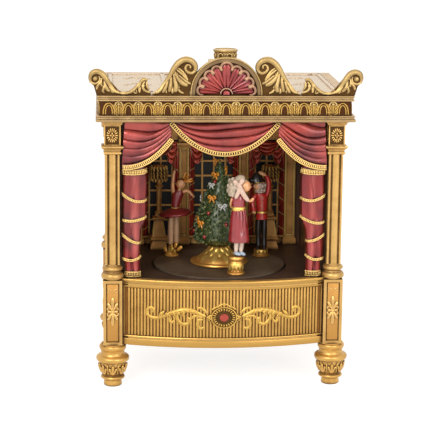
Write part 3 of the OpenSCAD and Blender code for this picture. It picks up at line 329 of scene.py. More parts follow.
def gilding(name, bright, deep, wash, metal, rough):
    """Gold paint with brown antiquing rubbed into the hollows, and a painted highlight on the edges."""
    paint = Finish(name)
    blotch = paint.noise(110, 4)
    grain = paint.noise(1300, 2)
    shelter = (0.88 - paint.cover(0.0035)) * 2.2
    hollow = (shelter + (blotch - 0.56) * 0.7 + (grain - 0.5) * 0.9).kept()
    # Painted highlight: convex edges turn to a paler gold.
    edge = ((0.8 - paint.cover(0.0011, inside=True)) * 1.6 - hollow).kept()
    tone = paint.blend(((blotch - 0.38) * 1.7).kept(), bright, deep)
    tone = paint.blend(edge, tone, tuple(min(c * 1.35, 0.92) for c in bright))
    return paint.put(Base_Color=paint.blend(hollow, tone, wash),
                     Metallic=metal - hollow * 0.6 * metal,
                     Roughness=hollow * 0.3 + grain * 0.12 + rough,
                     Normal=paint.relief(grain * 0.6 + blotch, 0.00012))


antique_gold = gilding("antique_gold", ink(216, 170, 92), ink(180, 128, 58), ink(92, 54, 22), 0.72, 0.3)
pale_gold = gilding("pale_gold", ink(194, 162, 102), ink(138, 104, 60), ink(66, 40, 18), 0.6, 0.36)

foot_top = 32.3
foot_profile = [
    (0, 0), (5.9, 0), (6.6, 0.5), (6.8, 1.4), (6.3, 5), (6.6, 5.4), (8.2, 5.6), (8.9, 6.1),
    (9, 6.8), (8.6, 7.5), (7.2, 8), (6.8, 8.5), (7.1, 9.2), (7.8, 10.4), (8.9, 14), (9.9, 17.2),
    (9.6, 18.4), (10.2, 19), (11.8, 19.5), (12.3, 20.6), (12.4, 21.5), (12.1, 22.6), (11.3, 23.3),
    (9.6, 23.8), (8.9, 24.9), (8.75, 26), (9, 27.4), (9.7, 28.4), (10, 29), (10, 30.6), (9.7, 31.2),
    (8.8, 31.5), (8.8, foot_top), (0, foot_top)]
cup_lean = math.atan2(2.6, 8)
cup_foot, cup_radius = 9.2, 8.1


def cup_leaf(turn, half=False):
    """Where a leaf lies on the foot's cup; the slim half of them lie a little deeper."""
    return (turn_z(turn) @ shift(0, -cup_radius + half * 0.2, cup_foot)
            @ Matrix.Rotation(cup_lean, 4, "X"))


broad_leaf = joined([bud(8.6, 2.6, 2.2), bud(7, 2, 1.8, 0.42), bud(7, 2, 1.8, -0.42)])
slim_leaf = bud(9.2, 1.5, 1.8)
post_x, post_front = 82, -55.3
feet = {"front_left": (-post_x, post_front), "front_right": (post_x, post_front),
        "rear_left": (-79.3, 60), "rear_right": (79.3, 60)}
foot_leaves = joined([
    repeated(broad_leaf, [cup_leaf(turn) for turn in ring_turns(8)]),
    repeated(slim_leaf, [cup_leaf(turn, True) for turn in ring_turns(8, 0.5)])])
foot = joined([turned(foot_profile), foot_leaves])
for corner, (x, y) in feet.items():
    cast = repeated(foot.copy(), [(x, y, 0)])
    settle(cast, "cast_foot_" + corner, antique_gold)
    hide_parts("foot_" + corner)
bpy.data.objects.remove(foot)


# Corner posts
# Each post is one casting: a block with a sunk panel and a star flower, two rings, a
# square fluted shaft, a moulded capital, a block with a rosette and a top cap.

def moulded(half_x, half_y, profile, at=(0, 0)):
    """A rectangular block whose sides follow a moulding of (inset, height), going up."""
    clear()
    inset, low = profile[0]
    bpy.ops.mesh.primitive_plane_add(size=2)
    bpy.ops.object.mode_set(mode="EDIT")
    bpy.ops.transform.resize(value=(half_x - inset, half_y - inset, 1))
    bpy.ops.transform.translate(value=(*at, low))
    for (i0, z0), (i1, z1) in zip(profile, profile[1:]):
        bpy.ops.mesh.extrude_region_move(TRANSFORM_OT_translate={"value": (0, 0, z1 - z0)})
        bpy.ops.transform.resize(
            value=((half_x - i1) / (half_x - i0), (half_y - i1) / (half_y - i0), 1),
            center_override=(*at, z1))
    return whole(bpy.context.object, 30)


def slab(low, high, round_over=0.4):
    """A block between two corners, with its edges rounded over."""
    clear()
    bpy.ops.mesh.primitive_cube_add(size=1)
    bpy.ops.object.mode_set(mode="EDIT")
    bpy.ops.transform.resize(value=[end - start for start, end in zip(low, high)])
    bpy.ops.transform.translate(value=[(start + end) / 2 for start, end in zip(low, high)])
    bpy.ops.mesh.bevel(offset=round_over, segments=2, affect="EDGES")
    return whole(bpy.context.object)


def sunk_panels(block, directions, margin, depth, rim=0.35):
    """Sinks a panel into each upright face that looks one of these ways."""
    take_up(block)
    bpy.ops.object.mode_set(mode="EDIT")
    bpy.ops.mesh.select_all(action="DESELECT")
    bpy.ops.object.mode_set(mode="OBJECT")
    widest = max(face.area for face in block.data.polygons if abs(face.normal.z) < 0.1)
    for face in block.data.polygons:
        face.select = face.area > widest * 0.9 and any(
            face.normal.dot(way) > 0.99 for way in directions)
    bpy.ops.object.mode_set(mode="EDIT")
    bpy.ops.mesh.inset(thickness=margin, use_individual=True)
    bpy.ops.mesh.inset(thickness=rim, depth=-depth, use_individual=True)
    bpy.ops.object.mode_set(mode="OBJECT")
    return block


def skin(rows, ring=False):
    """A surface through rows of points; a ring closes on itself and has its ends capped."""
    clear()
    if ring:
        rows = [list(row) + [row[0]] for row in rows]
    bpy.ops.mesh.primitive_grid_add(x_subdivisions=len(rows[0]) - 1, y_subdivisions=len(rows) - 1)
    piece = bpy.context.object
    for vertex, point in zip(piece.data.vertices, (p for row in rows for p in row)):
        vertex.co = point
    if ring:
        bpy.ops.object.mode_set(mode="EDIT")
        bpy.ops.mesh.select_all(action="SELECT")
        bpy.ops.mesh.remove_doubles(threshold=0.0005)
        bpy.ops.mesh.fill_holes(sides=0)
    return whole(piece)


def eased(points, steps=5):
    """A smooth run through points of any number of coordinates."""
    run, last = [], len(points) - 1
    for i in range(last):
        around = [points[max(i - 1, 0)], points[i], points[i + 1], points[min(i + 2, last)]]
        for step in range(steps):
            t = step / steps
            run.append(tuple(
                0.5 * (2 * b + (c - a) * t + (2 * a - 5 * b + 4 * c - d) * t * t
                       + (3 * b - a - 3 * c + d) * t ** 3) for a, b, c, d in zip(*around)))
    return run + [tuple(points[-1])]


def strand(path, steps=5, flat=1.0, blunt=True):
    """A raised round strand along (x, y, z, half-width) points, with rounded ends."""
    run = eased(path, steps)
    if blunt:
        def tip(end, inner):
            outwards = (Vector(end[:3]) - Vector(inner[:3])).normalized()
            return (*(Vector(end[:3]) + outwards * end[3] * 0.7), end[3] * 0.45)
        run = [tip(run[0], run[1])] + run + [tip(run[-1], run[-2])]
    clear()
    bpy.ops.curve.primitive_nurbs_path_add()
    drawn = bpy.context.object
    drawn.data.splines.clear()
    spline = drawn.data.splines.new("POLY")
    spline.points.add(len(run) - 1)
    for point, (x, y, z, half_width) in zip(spline.points, run):
        point.co, point.radius = (x, y, z, 1), half_width
    drawn.data.bevel_depth = 1
    drawn.data.bevel_resolution = 2
    drawn.data.use_fill_caps = True
    bpy.ops.object.convert(target="MESH")
    piece = bpy.context.object
    if flat != 1.0:  # squashed towards the wall it lies on
        wall = run[0][1]
        for vertex in piece.data.vertices:
            vertex.co.y = wall + (vertex.co.y - wall) * flat
    return whole(piece, 60)


def square_ring(half, z):
    """One level of the shaft: edge bands, a sunk flute each side of a rounded band."""
    side = [(-half, 0), (-3.85, 0), (-3.6, 0.6), (-3, 1.1), (-2.45, 0.6), (-2.2, 0),
            (-1.6, -0.3), (-0.6, -0.42), (0.6, -0.42), (1.6, -0.3), (2.2, 0), (2.45, 0.6),
            (3, 1.1), (3.6, 0.6), (3.85, 0)]
    return [turn_z(quarter * math.pi / 2) @ Vector((x, depth - half, z))
            for quarter in range(4) for x, depth in side]


block_top, shaft_foot, shaft_top = 81.5, 93.3, 176.3
capital_top, rosette_top, post_top = 182, 197.5, 201
star = [bud(11.4, 3.3, 2.4, way) for way in (0, math.pi)]
star += [bud(8, 2.9, 2.2, side * 0.5 + turn) for side in (-1, 1) for turn in (0, math.pi)]
star += [bud(4.2, 2.6, 2, side * math.pi / 2) for side in (-1, 1)]
star += [strand([(s * 1.2, 0, v * 2.2, 0.5), (s * 3.2, 0, v * 3, 0.6), (s * 4.2, 0, v * 1.8, 0.5),
                 (s * 3.4, 0, v, 0.4)], 3) for s in (-1, 1) for v in (-1, 1)]
star += [strand([(s * 0.6, 0, 15.5, 0.35), (s * 2.6, 0, 17.2, 0.45), (s * 3.6, 0, 15.6, 0.4),
                 (s * 2.5, 0, 14.6, 0.35)], 3) for s in (-1, 1)]
star += [put_at(turned([(0, -1), (1.9, -1), (1.7, 0.3), (0.9, 1), (0, 1.1)], sides=16),
                Matrix.Rotation(math.pi / 2, 4, "X"))]
star = joined(star)
daisy = [repeated(bud(2.7, 1.05, 1.2), [tilt(turn) @ shift(0, 0, 1.7) for turn in ring_turns(16)])]
daisy += [put_at(bud(1.9, 1.5, 1.7, way), (0, -0.2, 0))
          for way in (0, math.pi / 2, math.pi, -math.pi / 2)]
daisy = put_at(joined(daisy), Matrix.Diagonal((0.98, 1, 1.3, 1)))
ways = {"front": 0, "right": math.pi / 2, "back": math.pi, "left": -math.pi / 2}


def post(faces):
    """A post's casting, its dark grounds and the raised panels on the faces that show."""
    directions = [turn_z(ways[face]) @ Vector((0, -1, 0)) for face in faces]
    every_way = [turn_z(turn) @ Vector((0, -1, 0)) for turn in ways.values()]
    block = sunk_panels(moulded(7, 7, [(0, foot_top), (0, block_top)]), directions, 2, 0.9)
    rosette = sunk_panels(moulded(6, 6, [(0, capital_top), (0, rosette_top)]), every_way, 0.8, 0.8)
    rings = turned([
        (0, block_top), (6.6, block_top), (7.8, 82.1), (8.4, 83.1), (8.5, 84.3), (8.3, 85.5),
        (7.6, 86.5), (6.4, 87), (6, 87.8), (6.4, 88.5), (7.2, 88.9), (7.6, 89.7), (7.6, 90.5),
        (7.1, 91.4), (6.1, 91.9), (5.7, 92.5), (5.9, shaft_foot), (0, shaft_foot)])
    shaft = skin([square_ring(5.15, z) for z in (shaft_foot, shaft_top)], ring=True)
    capital = moulded(8.1, 8.1, [
        (2.5, 175.6), (1.8, 176.1), (1.6, 176.8), (1.8, 177.4), (2.4, 177.8), (2.2, 178.8),
        (1.5, 179.8), (0.5, 180.6), (0.1, 181), (0, 181.4), (0.1, 181.9), (0.6, capital_top)])
    cap = moulded(8.1, 8.1, [(1.7, rosette_top), (1.2, 197.9), (0.9, 198.6), (0.9, 199.1),
                             (0.3, 199.4), (0, 200), (0, post_top)])
    flowers = [repeated(star.copy(), [turn_z(ways[face]) @ shift(0, -6.3, 58)])
               for face in faces]
    flowers += [repeated(daisy.copy(), [turn_z(turn) @ shift(0, -5.45, 189.8)])
                for turn in ways.values()]
    panels = repeated(slab((-4.1, -0.2, 35.2), (4.1, 0.3, 78.8), 0.15), [
        turn_z(ways[face]) @ shift(0, -6.2, 0) for face in faces])
    dark = repeated(slab((-4.6, -0.2, 34.7), (4.6, 0.2, 79.2), 0.1), [
        turn_z(ways[face]) @ shift(0, -5.98, 0) for face in faces])
    fields = repeated(slab((-4.8, -0.2, 183.2), (4.8, 0.2, 196.3), 0.1), [
        turn_z(turn) @ shift(0, -5.08, 0) for turn in ways.values()])
    cast = joined([block, rings, shaft, capital, rosette, cap] + flowers)
    return cast, joined([dark, fields]), panels


def brown_ground(name, low, high, scale, detail=3, rough=0.55, shine=0.15):
    """Brown paint for sunk grounds, clouded between two tones and nearly matt."""
    ground = Finish(name)
    return ground.put(Base_Color=ground.blend(ground.noise(scale, detail), low, high),
                      Roughness=rough, Specular_IOR_Level=shine, Metallic=0.2)


post_rear = 49
posts = {"front_left": ((-post_x, post_front), ("front", "left")),
         "front_right": ((post_x, post_front), ("front", "right")),
         "rear_left": ((-post_x, post_rear), ("left",)),
         "rear_right": ((post_x, post_rear), ("right",))}
post_gold = gilding("post_gold", ink(206, 164, 96), ink(168, 122, 62), ink(70, 42, 18), 0.7, 0.32)
panel_gold = gilding("panel_gold", ink(172, 124, 60), ink(144, 100, 44), ink(64, 36, 14), 0.6, 0.38)
dark_field = brown_ground("dark_field", ink(64, 42, 14), ink(98, 68, 28), 300)
for corner, ((x, y), faces) in posts.items():
    cast, grounds, panels = [put_at(piece, (x, y, 0)) for piece in post(faces)]
    settle(cast, "cast_post_" + corner, post_gold)
    settle(grounds, "post_panel_grounds_" + corner, dark_field)
    settle(panels, "post_panels_" + corner, panel_gold)
    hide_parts("post_" + corner)
bpy.data.objects.remove(star)
bpy.data.objects.remove(daisy)


# The bowed apron
# The front of the base housing: a bowed wall of upright reeds between a double lip and
# a plain band. The housing itself is the CAD's, gilded; the mouldings are laid on it.

bow_centre, bow_wall = 151.8, 222.3


def bow(x, out):
    """How far back the bow is at x, this far outside the reeds' wall."""
    return bow_centre - math.sqrt((bow_wall + out) ** 2 - x * x)


def bowed_rail(profile, half=74.4, steps=32):
    """A moulding of (out, height) points that runs along the bow."""
    end = math.asin(half / bow_wall)
    angles = [end * k / steps for k in range(-steps, steps + 1)]
    return skin([[((bow_wall + out) * math.sin(a), bow_centre - (bow_wall + out) * math.cos(a), z)
                  for out, z in profile] for a in angles], ring=True)


def lay_finish(node, finish):
    """Gives a CAD node a finish of its own."""
    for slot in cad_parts[node].material_slots:
        slot.material = finish


def two_sided(name, axis="X", edge=-1.0, front=-1.0):
    """Plain gilding beyond edge on an axis and behind front, and dark brown elsewhere, partly
    the room's paint and partly painted shade; as it stands, gilding all over."""
    paint = Finish(name)
    outer = (abs(paint.along(axis)) > edge) * (paint.along("Y") > front)
    blotch = paint.noise(70, 3)
    grain = paint.noise(1300, 2)
    hollow = ((0.88 - paint.cover(0.004)) * 2.2 + (grain - 0.5) * 0.3).kept()
    gold = paint.blend(((blotch - 0.35) * 0.9).kept(), ink(206, 164, 92), ink(176, 132, 66))
    gold = paint.blend(hollow, gold, ink(92, 56, 22))
    # Inside, dark brown: partly the room's paint, partly painted shade.
    dark = paint.blend(((blotch - 0.35) * 2).kept(), ink(112, 74, 44), ink(62, 36, 20))
    return paint.put(Base_Color=paint.blend(outer, dark, gold),
                     Metallic=outer * (0.6 - hollow * 0.4),
                     Roughness=hollow * 0.25 + grain * 0.1 + 0.38,
                     Normal=paint.relief(grain, 0.00006))


lay_finish("base_housing", two_sided("housing_gold"))
reed = turned([(0, 39.8), (0.8, 40), (1.03, 40.8), (1.03, 75.4), (0.8, 76.2), (0, 76.4)], sides=12)
reed_step = 2.45 / bow_wall
reeds = repeated(reed, [shift(0, bow_centre, 0) @ turn_z(k * reed_step)
                        @ shift(0, -0.1 - bow_wall, 0) for k in range(-29, 30)])
apron_ground = bowed_rail([(-0.1, 39.6), (0.12, 39.6), (0.12, 76.6), (-0.1, 76.6)])
rails = [bowed_rail(profile) for profile in (
    [(1.2, 80.4), (1.6, 80.5), (1.95, 81), (1.95, 82.2), (1.6, 82.7), (1.2, 82.8)],
    [(0.9, 78.6), (1.2, 78.7), (1.5, 79.1), (1.6, 79.6), (1.2, 80)],
    [(0.2, 76.3), (1.4, 76.4), (1.8, 76.9), (1.8, 77.5), (1.4, 78), (0.2, 78.1)],
    [(0.2, 38.5), (1.5, 38.6), (1.8, 39), (1.5, 39.7), (0.2, 39.8)],
    [(1.2, 32.4), (1.7, 32.6), (1.9, 33.2), (1.9, 36.9), (1.7, 37.5), (1.2, 37.7)])]
stile_x, stile_y = 73.7, bow(73.7, 0.4)
stiles = [strand([(s * stile_x, stile_y, 38.6, 0.9), (s * stile_x, stile_y, 78, 0.9)], 1, blunt=False)
          for s in (-1, 1)]
rail_gold = gilding("rail_gold", ink(172, 132, 66), ink(142, 104, 44), ink(84, 48, 18), 0.72, 0.3)
reed_gap = brown_ground("reed_gaps", ink(112, 70, 26), ink(152, 104, 48), 160, 4, 0.5, 0.2)
reed_gold = gilding("reed_gold", ink(202, 158, 82), ink(164, 118, 52), ink(92, 54, 22), 0.68, 0.33)
settle(reeds, "apron_reeds", reed_gold)
settle(apron_ground, "apron_ground", reed_gap)
settle(joined(rails + stiles), "apron_rails", rail_gold)


# Apron scrollwork
# Two long acanthus scrolls of cast resin, glued over the reeds on each side of the
# medallion, with curls below and small leaves that spring from the stems.

def mirrored(piece):
    """The same piece for the other side."""
    put_at(piece, Matrix.Scale(-1, 4, (1, 0, 0)))
    return whole(piece, 60)


def on_bow(piece, out=0.8):
    """Bends a flat piece, made in the X-Z plane, back onto the bow of the reeds."""
    for vertex in piece.data.vertices:
        vertex.co.y += bow(vertex.co.x, out)
    return whole(piece, 60)


scroll_lines = [
    [(-52.6, 58.7, 1.3), (-51.6, 60.4, 1.3), (-53.4, 61.9, 1.3), (-55.9, 61, 1.3), (-57, 58.8, 1.3),
     (-56.2, 56.2, 1.4), (-53.4, 54.5, 1.5), (-49.4, 54.2, 1.6), (-45, 55.6, 1.7),
     (-40.4, 57.7, 1.8), (-36, 59.2, 2.1), (-31.7, 60.4, 2.3), (-27.4, 61, 2),
     (-23.1, 60.4, 1.8), (-19.6, 58.9, 1.6), (-16.4, 57.4, 1.4), (-13.9, 56.4, 1.1)],
    [(-34.6, 58.4, 1.2), (-34.6, 55, 1.5), (-33.4, 52.2, 1.6), (-31, 50.3, 1.6), (-28.2, 50.1, 1.6),
     (-26, 51.6, 1.5), (-25.4, 53.8, 1.4), (-26.3, 54.8, 1.3)],
    [(-31.8, 58.6, 0.9), (-30.2, 57, 1.2), (-29.3, 55.2, 0.8)],
    [(-23.9, 59, 0.9), (-21, 59.3, 1.2), (-18.4, 58.8, 1.2), (-16, 57.4, 1)],
    [(-19.6, 61.6, 1), (-18.6, 62.7, 1.2), (-16.4, 62.3, 1.3), (-14, 60.4, 1.2), (-12.5, 58.8, 0.9)],
    [(-16.2, 54, 1), (-18.4, 53.7, 1.3), (-19.3, 51.6, 1.5), (-19.2, 48.9, 1.5), (-17.9, 47.3, 1.4),
     (-16.2, 47.2, 1.3), (-15.5, 48, 1)],
    [(-39.6, 56.4, 0.8), (-40.4, 54, 1.1), (-39.6, 51.9, 1.2), (-38, 51.4, 1.1), (-37.2, 52.7, 0.8)],
    [(-37.6, 56.6, 0.8), (-36.6, 55, 1), (-36.6, 53.6, 0.8)],
    [(-16.4, 55.6, 1), (-20.4, 56.6, 1.3), (-22.8, 56, 1), (-23.6, 54.6, 0.8)]]
scroll_leaves = [
    (-49, 55, 0.72, 6), (-46.8, 55.6, 0.5, 5.4), (-44.4, 56.6, 0.85, 3.4), (-41.4, 57.6, 2.4, 3.6),
    (-37.6, 60, 2.75, 5), (-35, 60.6, 2.5, 4.6), (-32, 61.4, 2.3, 4.6), (-29, 61.6, 2.1, 4.4),
    (-26, 61.2, 2, 4.2), (-23.4, 60.4, 1.9, 3.8), (-29.8, 60.6, 3.3, 4.4), (-12.6, 56.2, 1.2, 4),
    (-13.6, 56, 1.57, 4.2), (-12.6, 55.6, 1.95, 4), (-12.4, 54.8, 2.3, 3)]
stems = [on_bow(strand([(x, 0, z, r) for x, z, r in line], 4, flat=0.62)) for line in scroll_lines]
leaves = [on_bow(put_at(bud(long, long * 0.42, 1.9, lean), (x, -0.5, z)))
          for x, z, lean, long in scroll_leaves]
left_scroll = joined(stems + leaves)
right_scroll = mirrored(repeated(left_scroll.copy(), [(0, 0, 0)]))
scroll_gold = gilding("scroll_gold", ink(190, 150, 72), ink(154, 112, 48), ink(84, 48, 18), 0.72, 0.3)
scrolls = settle(joined([left_scroll, right_scroll]), "apron_scrolls", scroll_gold)
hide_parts("apron_scrollwork")


# Medallion and jewel
# An oval brass-look medallion with short rays round a dark field, a small leaf crest on
# top, and a faceted red glass jewel in a collar at its middle.

def facing(piece, at, x_scale=1.0):
    """Turns a piece made round Z to face the front, and places it."""
    return put_at(piece, shift(*at) @ Matrix.Diagonal((x_scale, 1, 1, 1))
                  @ Matrix.Rotation(math.pi / 2, 4, "X"))


def glazed(name, colour, rough, metal):
    """A plain colour under a clear glaze."""
    paint = Finish(name)
    return paint.put(Base_Color=colour, Roughness=rough, Metallic=metal, Coat_Weight=0.6)


jewel_glass = glazed("jewel_glass", ink(176, 52, 30), 0.16, 0.35)
medal_at, medal_wide = (0, bow(0, 1.2), 55.5), 1.2
rim = facing(turned([(7.1, -1.2), (7.3, 0.3), (7.7, 0.7), (8.1, 0.6), (8.3, 0), (8.3, -1.2),
                     (7.1, -1.2)], sides=48), medal_at, medal_wide)
ticks = repeated(bud(2.1, 1.1, 1.1), [
    shift(*medal_at) @ Matrix.Diagonal((medal_wide, 1, 1, 1)) @ tilt(turn) @ shift(0, 0, 5)
    for turn in ring_turns(24)])
medal_crest = [strand([(s * x, medal_at[1] + 0.6, z, r) for x, z, r in line], 4) for s in (-1, 1)
               for line in ([(3.6, 63.9, 0.8), (6.4, 63.2, 1.1), (8.8, 61.6, 0.9)],
                            [(0, 65.9, 0.7), (2.2, 65.3, 0.8), (4, 64.2, 0.7)])]
medal_crest += [put_at(bud(3.6, 3.4, 1.4), (0, medal_at[1] + 0.8, 62.8))]
medal = settle(joined([rim, ticks] + medal_crest), "medallion_gilt", scroll_gold)
field = turned([(0, -1.2), (7.6, -1.2), (7.6, -0.1), (4.6, -0.1), (4.4, 0.3), (3.6, 0.4), (0, 0.4)])
settle(facing(field, medal_at, medal_wide), "medallion_field", dark_field)
jewel = facing(turned([(0, -1), (3.3, -1), (3.4, 0.1), (2.8, 0.5), (1.5, 0.75), (0, 0.75)], sides=8),
               medal_at, 1.15)
take_up(jewel)
bpy.ops.object.shade_flat()
jewel = settle(jewel, "jewel_cut_glass", jewel_glass)
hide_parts("apron_medallion")
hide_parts("apron_jewel")


# Cornice
# One heavy casting that sits on the four posts: moulded fillets above and below a frieze
# of palmettes with a shell on each, and pointed arches between them.

umber = brown_ground("umber_hollows", ink(58, 36, 10), ink(110, 74, 28), 240, rough=0.6)
roof_top = 220
cornice_body = moulded(94, 72.5, [
    (1.4, post_top), (0.4, 201.2), (0, 201.9), (0, 202.8), (0.9, 203.3), (1.2, 203.9), (1.2, 204.5),
    (0.5, 204.8), (0.3, 205.2), (0.6, 205.6), (3.4, 205.7), (3.4, 216), (1.4, 216.2), (1.1, 216.7),
    (1.3, 217.2), (1.9, 217.6), (1.9, 218.7), (1.2, 219.2), (1.1, 219.6), (1.3, roof_top),
    (9, roof_top), (9, 218)])
frieze_front, frieze_side, frieze_foot = 69.4, 90.9, 205.7
palm_half = [(2.2, 9.3), (2.9, 8.2), (4.4, 8.4), (5.3, 7.1), (4.1, 5.4), (2.9, 2.4), (2.4, 0.1)]
palm_outline = [(-x, z) for x, z in reversed(palm_half)] + palm_half
motif = [put_at(bud(long, 1.15, 1.1, way), (way * 2.4, -0.3, root))
         for root, long in ((0.3, 3.4), (2.6, 3.6), (4.8, 3.6)) for way in (-0.7, -0.35, 0.35, 0.7)]
motif += [strand([(0, -0.5, 0.4, 0.7), (0, -0.6, 7.4, 0.5)], 2)]
knob = [strand([(2.7 * math.cos(a), -0.7, 7.5 + 2.5 * math.sin(a), 0.62) for a in
                map(math.radians, (-10, 30, 60, 90, 120, 150, 190))], 2),
        put_at(bud(2.4, 1.7, 1.6), (0, -0.7, 6.9))]
knob += [put_at(bud(1.8, 0.7, 1.4, way), (0, -0.6, 7.4)) for way in (-0.8, 0.8)]
arch_lines = [
    [(4.1, 0.2, 0.6), (3.9, 4, 0.6), (2.9, 7, 0.62), (1.2, 8.7, 0.55), (0, 9, 0.45)],
    [(2.5, 0.2, 0.55), (2.4, 3.4, 0.55), (1.7, 6, 0.5), (0.6, 7.2, 0.45), (0, 7.4, 0.4)]]
motif = joined(motif)
knob = joined(knob)
gap = joined([strand([(s * x, -0.2, z, r) for x, z, r in line], 3) for s in (-1, 1) for line in arch_lines])


def cut_out(outline, front, back):
    """A plate sawn to an outline of (x, z)."""
    clear()
    bpy.ops.mesh.primitive_circle_add(vertices=len(outline), radius=1, fill_type="NGON")
    plate = bpy.context.object
    for vertex, (x, z) in zip(plate.data.vertices, outline):
        vertex.co = (x, front, z)
    bpy.ops.object.mode_set(mode="EDIT")
    bpy.ops.mesh.select_all(action="SELECT")
    bpy.ops.mesh.extrude_region_move(TRANSFORM_OT_translate={"value": (0, back - front, 0)})
    return whole(plate)


def round_frieze(piece, across, deep):
    """Copies a piece at these places along the front and back, and the sides."""
    places = [turn_z(turn) @ shift(x, -frieze_front, frieze_foot)
              for turn in (0, math.pi) for x in across]
    places += [turn_z(turn) @ shift(x, -frieze_side, frieze_foot)
               for turn in (math.pi / 2, -math.pi / 2) for x in deep]
    return repeated(piece, places)


def in_row(count):
    """The places of so many like motifs along the frieze, about its middle."""
    return [(k - (count - 1) / 2) * motif_pitch for k in range(count)]


motif_pitch = 14.07
palm_plates = round_frieze(cut_out(palm_outline, -0.45, 0.4), in_row(12), in_row(9))
palmettes = round_frieze(motif, in_row(12), in_row(9))
knobs = round_frieze(knob, in_row(12), in_row(9))
arches = round_frieze(gap, in_row(13), in_row(10))
niche_brown = brown_ground("niche_brown", ink(88, 48, 14), ink(60, 34, 10), 240)
speckled = Finish("speckled_gold")
grit = ((speckled.noise(760, 2) - 0.47) * 7).kept()
speckled_gold = speckled.put(Base_Color=speckled.blend(grit, ink(172, 134, 64), ink(94, 58, 22)),
                             Metallic=0.6 - grit * 0.3, Roughness=grit * 0.2 + 0.34,
                             Normal=speckled.relief(grit, 0.0002))
cornice_gold = gilding("cornice_gold", ink(182, 150, 102), ink(150, 116, 72), ink(66, 40, 18), 0.6, 0.36)
frieze_gold = gilding("frieze_gold", ink(172, 134, 64), ink(132, 94, 42), ink(62, 36, 14), 0.65, 0.34)
settle(moulded(frieze_side, frieze_front, [(0, 205.8), (0, 215.9)]), "frieze_ground", niche_brown)
settle(palm_plates, "frieze_palm_plates", speckled_gold)
settle(joined([palmettes, arches]), "frieze_leaves", frieze_gold)
settle(knobs, "frieze_shell_knobs", pale_gold)
cornice = settle(cornice_body, "cornice_casting", cornice_gold)
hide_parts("cornice")


# Roof panel
# A cream panel let into the top of the cornice, with raised ribs from front to back, a
# shallow festoon in each bay, brown specks rubbed into its stippled surface, and painted
# shade in its hollows.

cream = Finish("roof_cream_paint")
speck = cream.noise(420, 3)
cloud = cream.noise(60, 2)
# Brown specks and clouds, and painted shade darkening the hollows.
specks_and_shade = ((speck - 0.56) * 5 + (0.8 - cream.cover(0.004)) * 1.6 + (cloud - 0.5) * 0.6).kept()
cream.put(Base_Color=cream.blend(specks_and_shade, ink(228, 206, 176), ink(150, 110, 78)), Roughness=0.55,
          Normal=cream.relief(speck, 0.0002))
panel_top, rib_top = 219.2, 220.3
roof = [slab((-84.7, -63.2, 217.4), (84.7, 63.2, panel_top))]
roof += [slab((x - 1.5, -63, 218.8), (x + 1.5, 63, rib_top)) for x in (-83, -42, 42, 83)]
roof += [slab((-84.5, 60.2, 218.8), (84.5, 63, rib_top))]
for x in (-62.5, 0, 62.5):
    for y in (-38, 0, 38):
        roof += [strand([(x - 8, y - 3, panel_top, 0.5), (x - 4, y + 3, panel_top, 0.9),
                         (x, y + 5, panel_top, 1), (x + 4, y + 3, panel_top, 0.9),
                         (x + 8, y - 3, panel_top, 0.5)], 4)]
        roof += [turned([(0, 219), (1.6, 219), (1.3, 219.9), (0, 220.2)], (x + apart, y - 4, 0), 12)
                 for apart in (-9, 0, 9)]
roof = settle(joined(roof), "roof_cream_panel", cream.material)
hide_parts("roof_panel")


# Pediment arch and shell
# A half-round arch of gilt resin in the middle of the front, with a pale rim round a
# broad dull band and a dark niche; in the niche sits a crimson shell edged in gilt.

arch_centre = 221.6


def half_round(profile, steps=40):
    """A half ring from a closed profile of (radius, y), with straight feet down to the roof."""
    rows = [[(r, y, roof_top) for r, y in profile]]
    rows += [[(r * math.cos(a), y, arch_centre + r * math.sin(a)) for r, y in profile]
             for a in (math.pi * k / steps for k in range(steps + 1))]
    rows += [[(-r, y, roof_top) for r, y in profile]]
    return skin(rows, ring=True)


dull_gold = gilding("dull_gold", ink(132, 104, 66), ink(102, 76, 44), ink(50, 32, 18), 0.45, 0.45)
arch_back = -64
arch_rim = half_round([(26, arch_back), (26, -69.5), (25.7, -69.9), (25.3, -69.8), (25.1, -69.3),
                       (25.1, arch_back)])
arch_band = half_round([(25.2, arch_back), (25.2, -69.1), (24, -69.5), (22.6, -69.3), (22.2, -68.6),
                        (22.2, arch_back)])
niche = half_round([(22.4, arch_back), (22.4, -67), (0.02, -67), (0.02, arch_back)])
arch_rim = settle(arch_rim, "arch_rim", pale_gold)
settle(arch_band, "arch_band", dull_gold)
settle(niche, "arch_niche", umber)
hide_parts("pediment_arch")


def lustre(name, light, warm, deep, crease, swell=0.0, pale=None):
    """Lustrous red paint in patches of three tones, darker in the creases as painted shade; with
    a pale colour, also a painted highlight down each side, at swell metres from the middle."""
    paint = Finish(name)
    cloud = paint.noise(44, 3)
    patch = paint.noise(27, 2)
    # Painted shade: the red darkens to the crease colour in hollows and folds.
    hollow = ((0.93 - paint.cover(0.005)) * 1.9 + (cloud - 0.56) * 0.9).kept()
    tone = paint.blend(((cloud - 0.4) * 3.2).kept(), light, deep)
    tone = paint.blend(((patch - 0.52) * 4).kept(), tone, warm)
    # Painted highlight: a paler stripe down each side.
    if pale:
        off = abs(abs(paint.along("X")) - swell)
        tone = paint.blend((0.75 - off * 240 + (cloud - 0.5) * 1.6).kept(), tone, pale)
    return paint.put(Base_Color=paint.blend(hollow, tone, crease), Metallic=0.5 - hollow * 0.3,
                     Roughness=cloud * 0.22 + 0.24, Coat_Weight=0.4,
                     Normal=paint.relief(paint.noise(620, 2), 0.00012))


shell_red = lustre("shell_red", ink(176, 74, 70), ink(168, 58, 44), ink(140, 40, 42), ink(56, 16, 14))


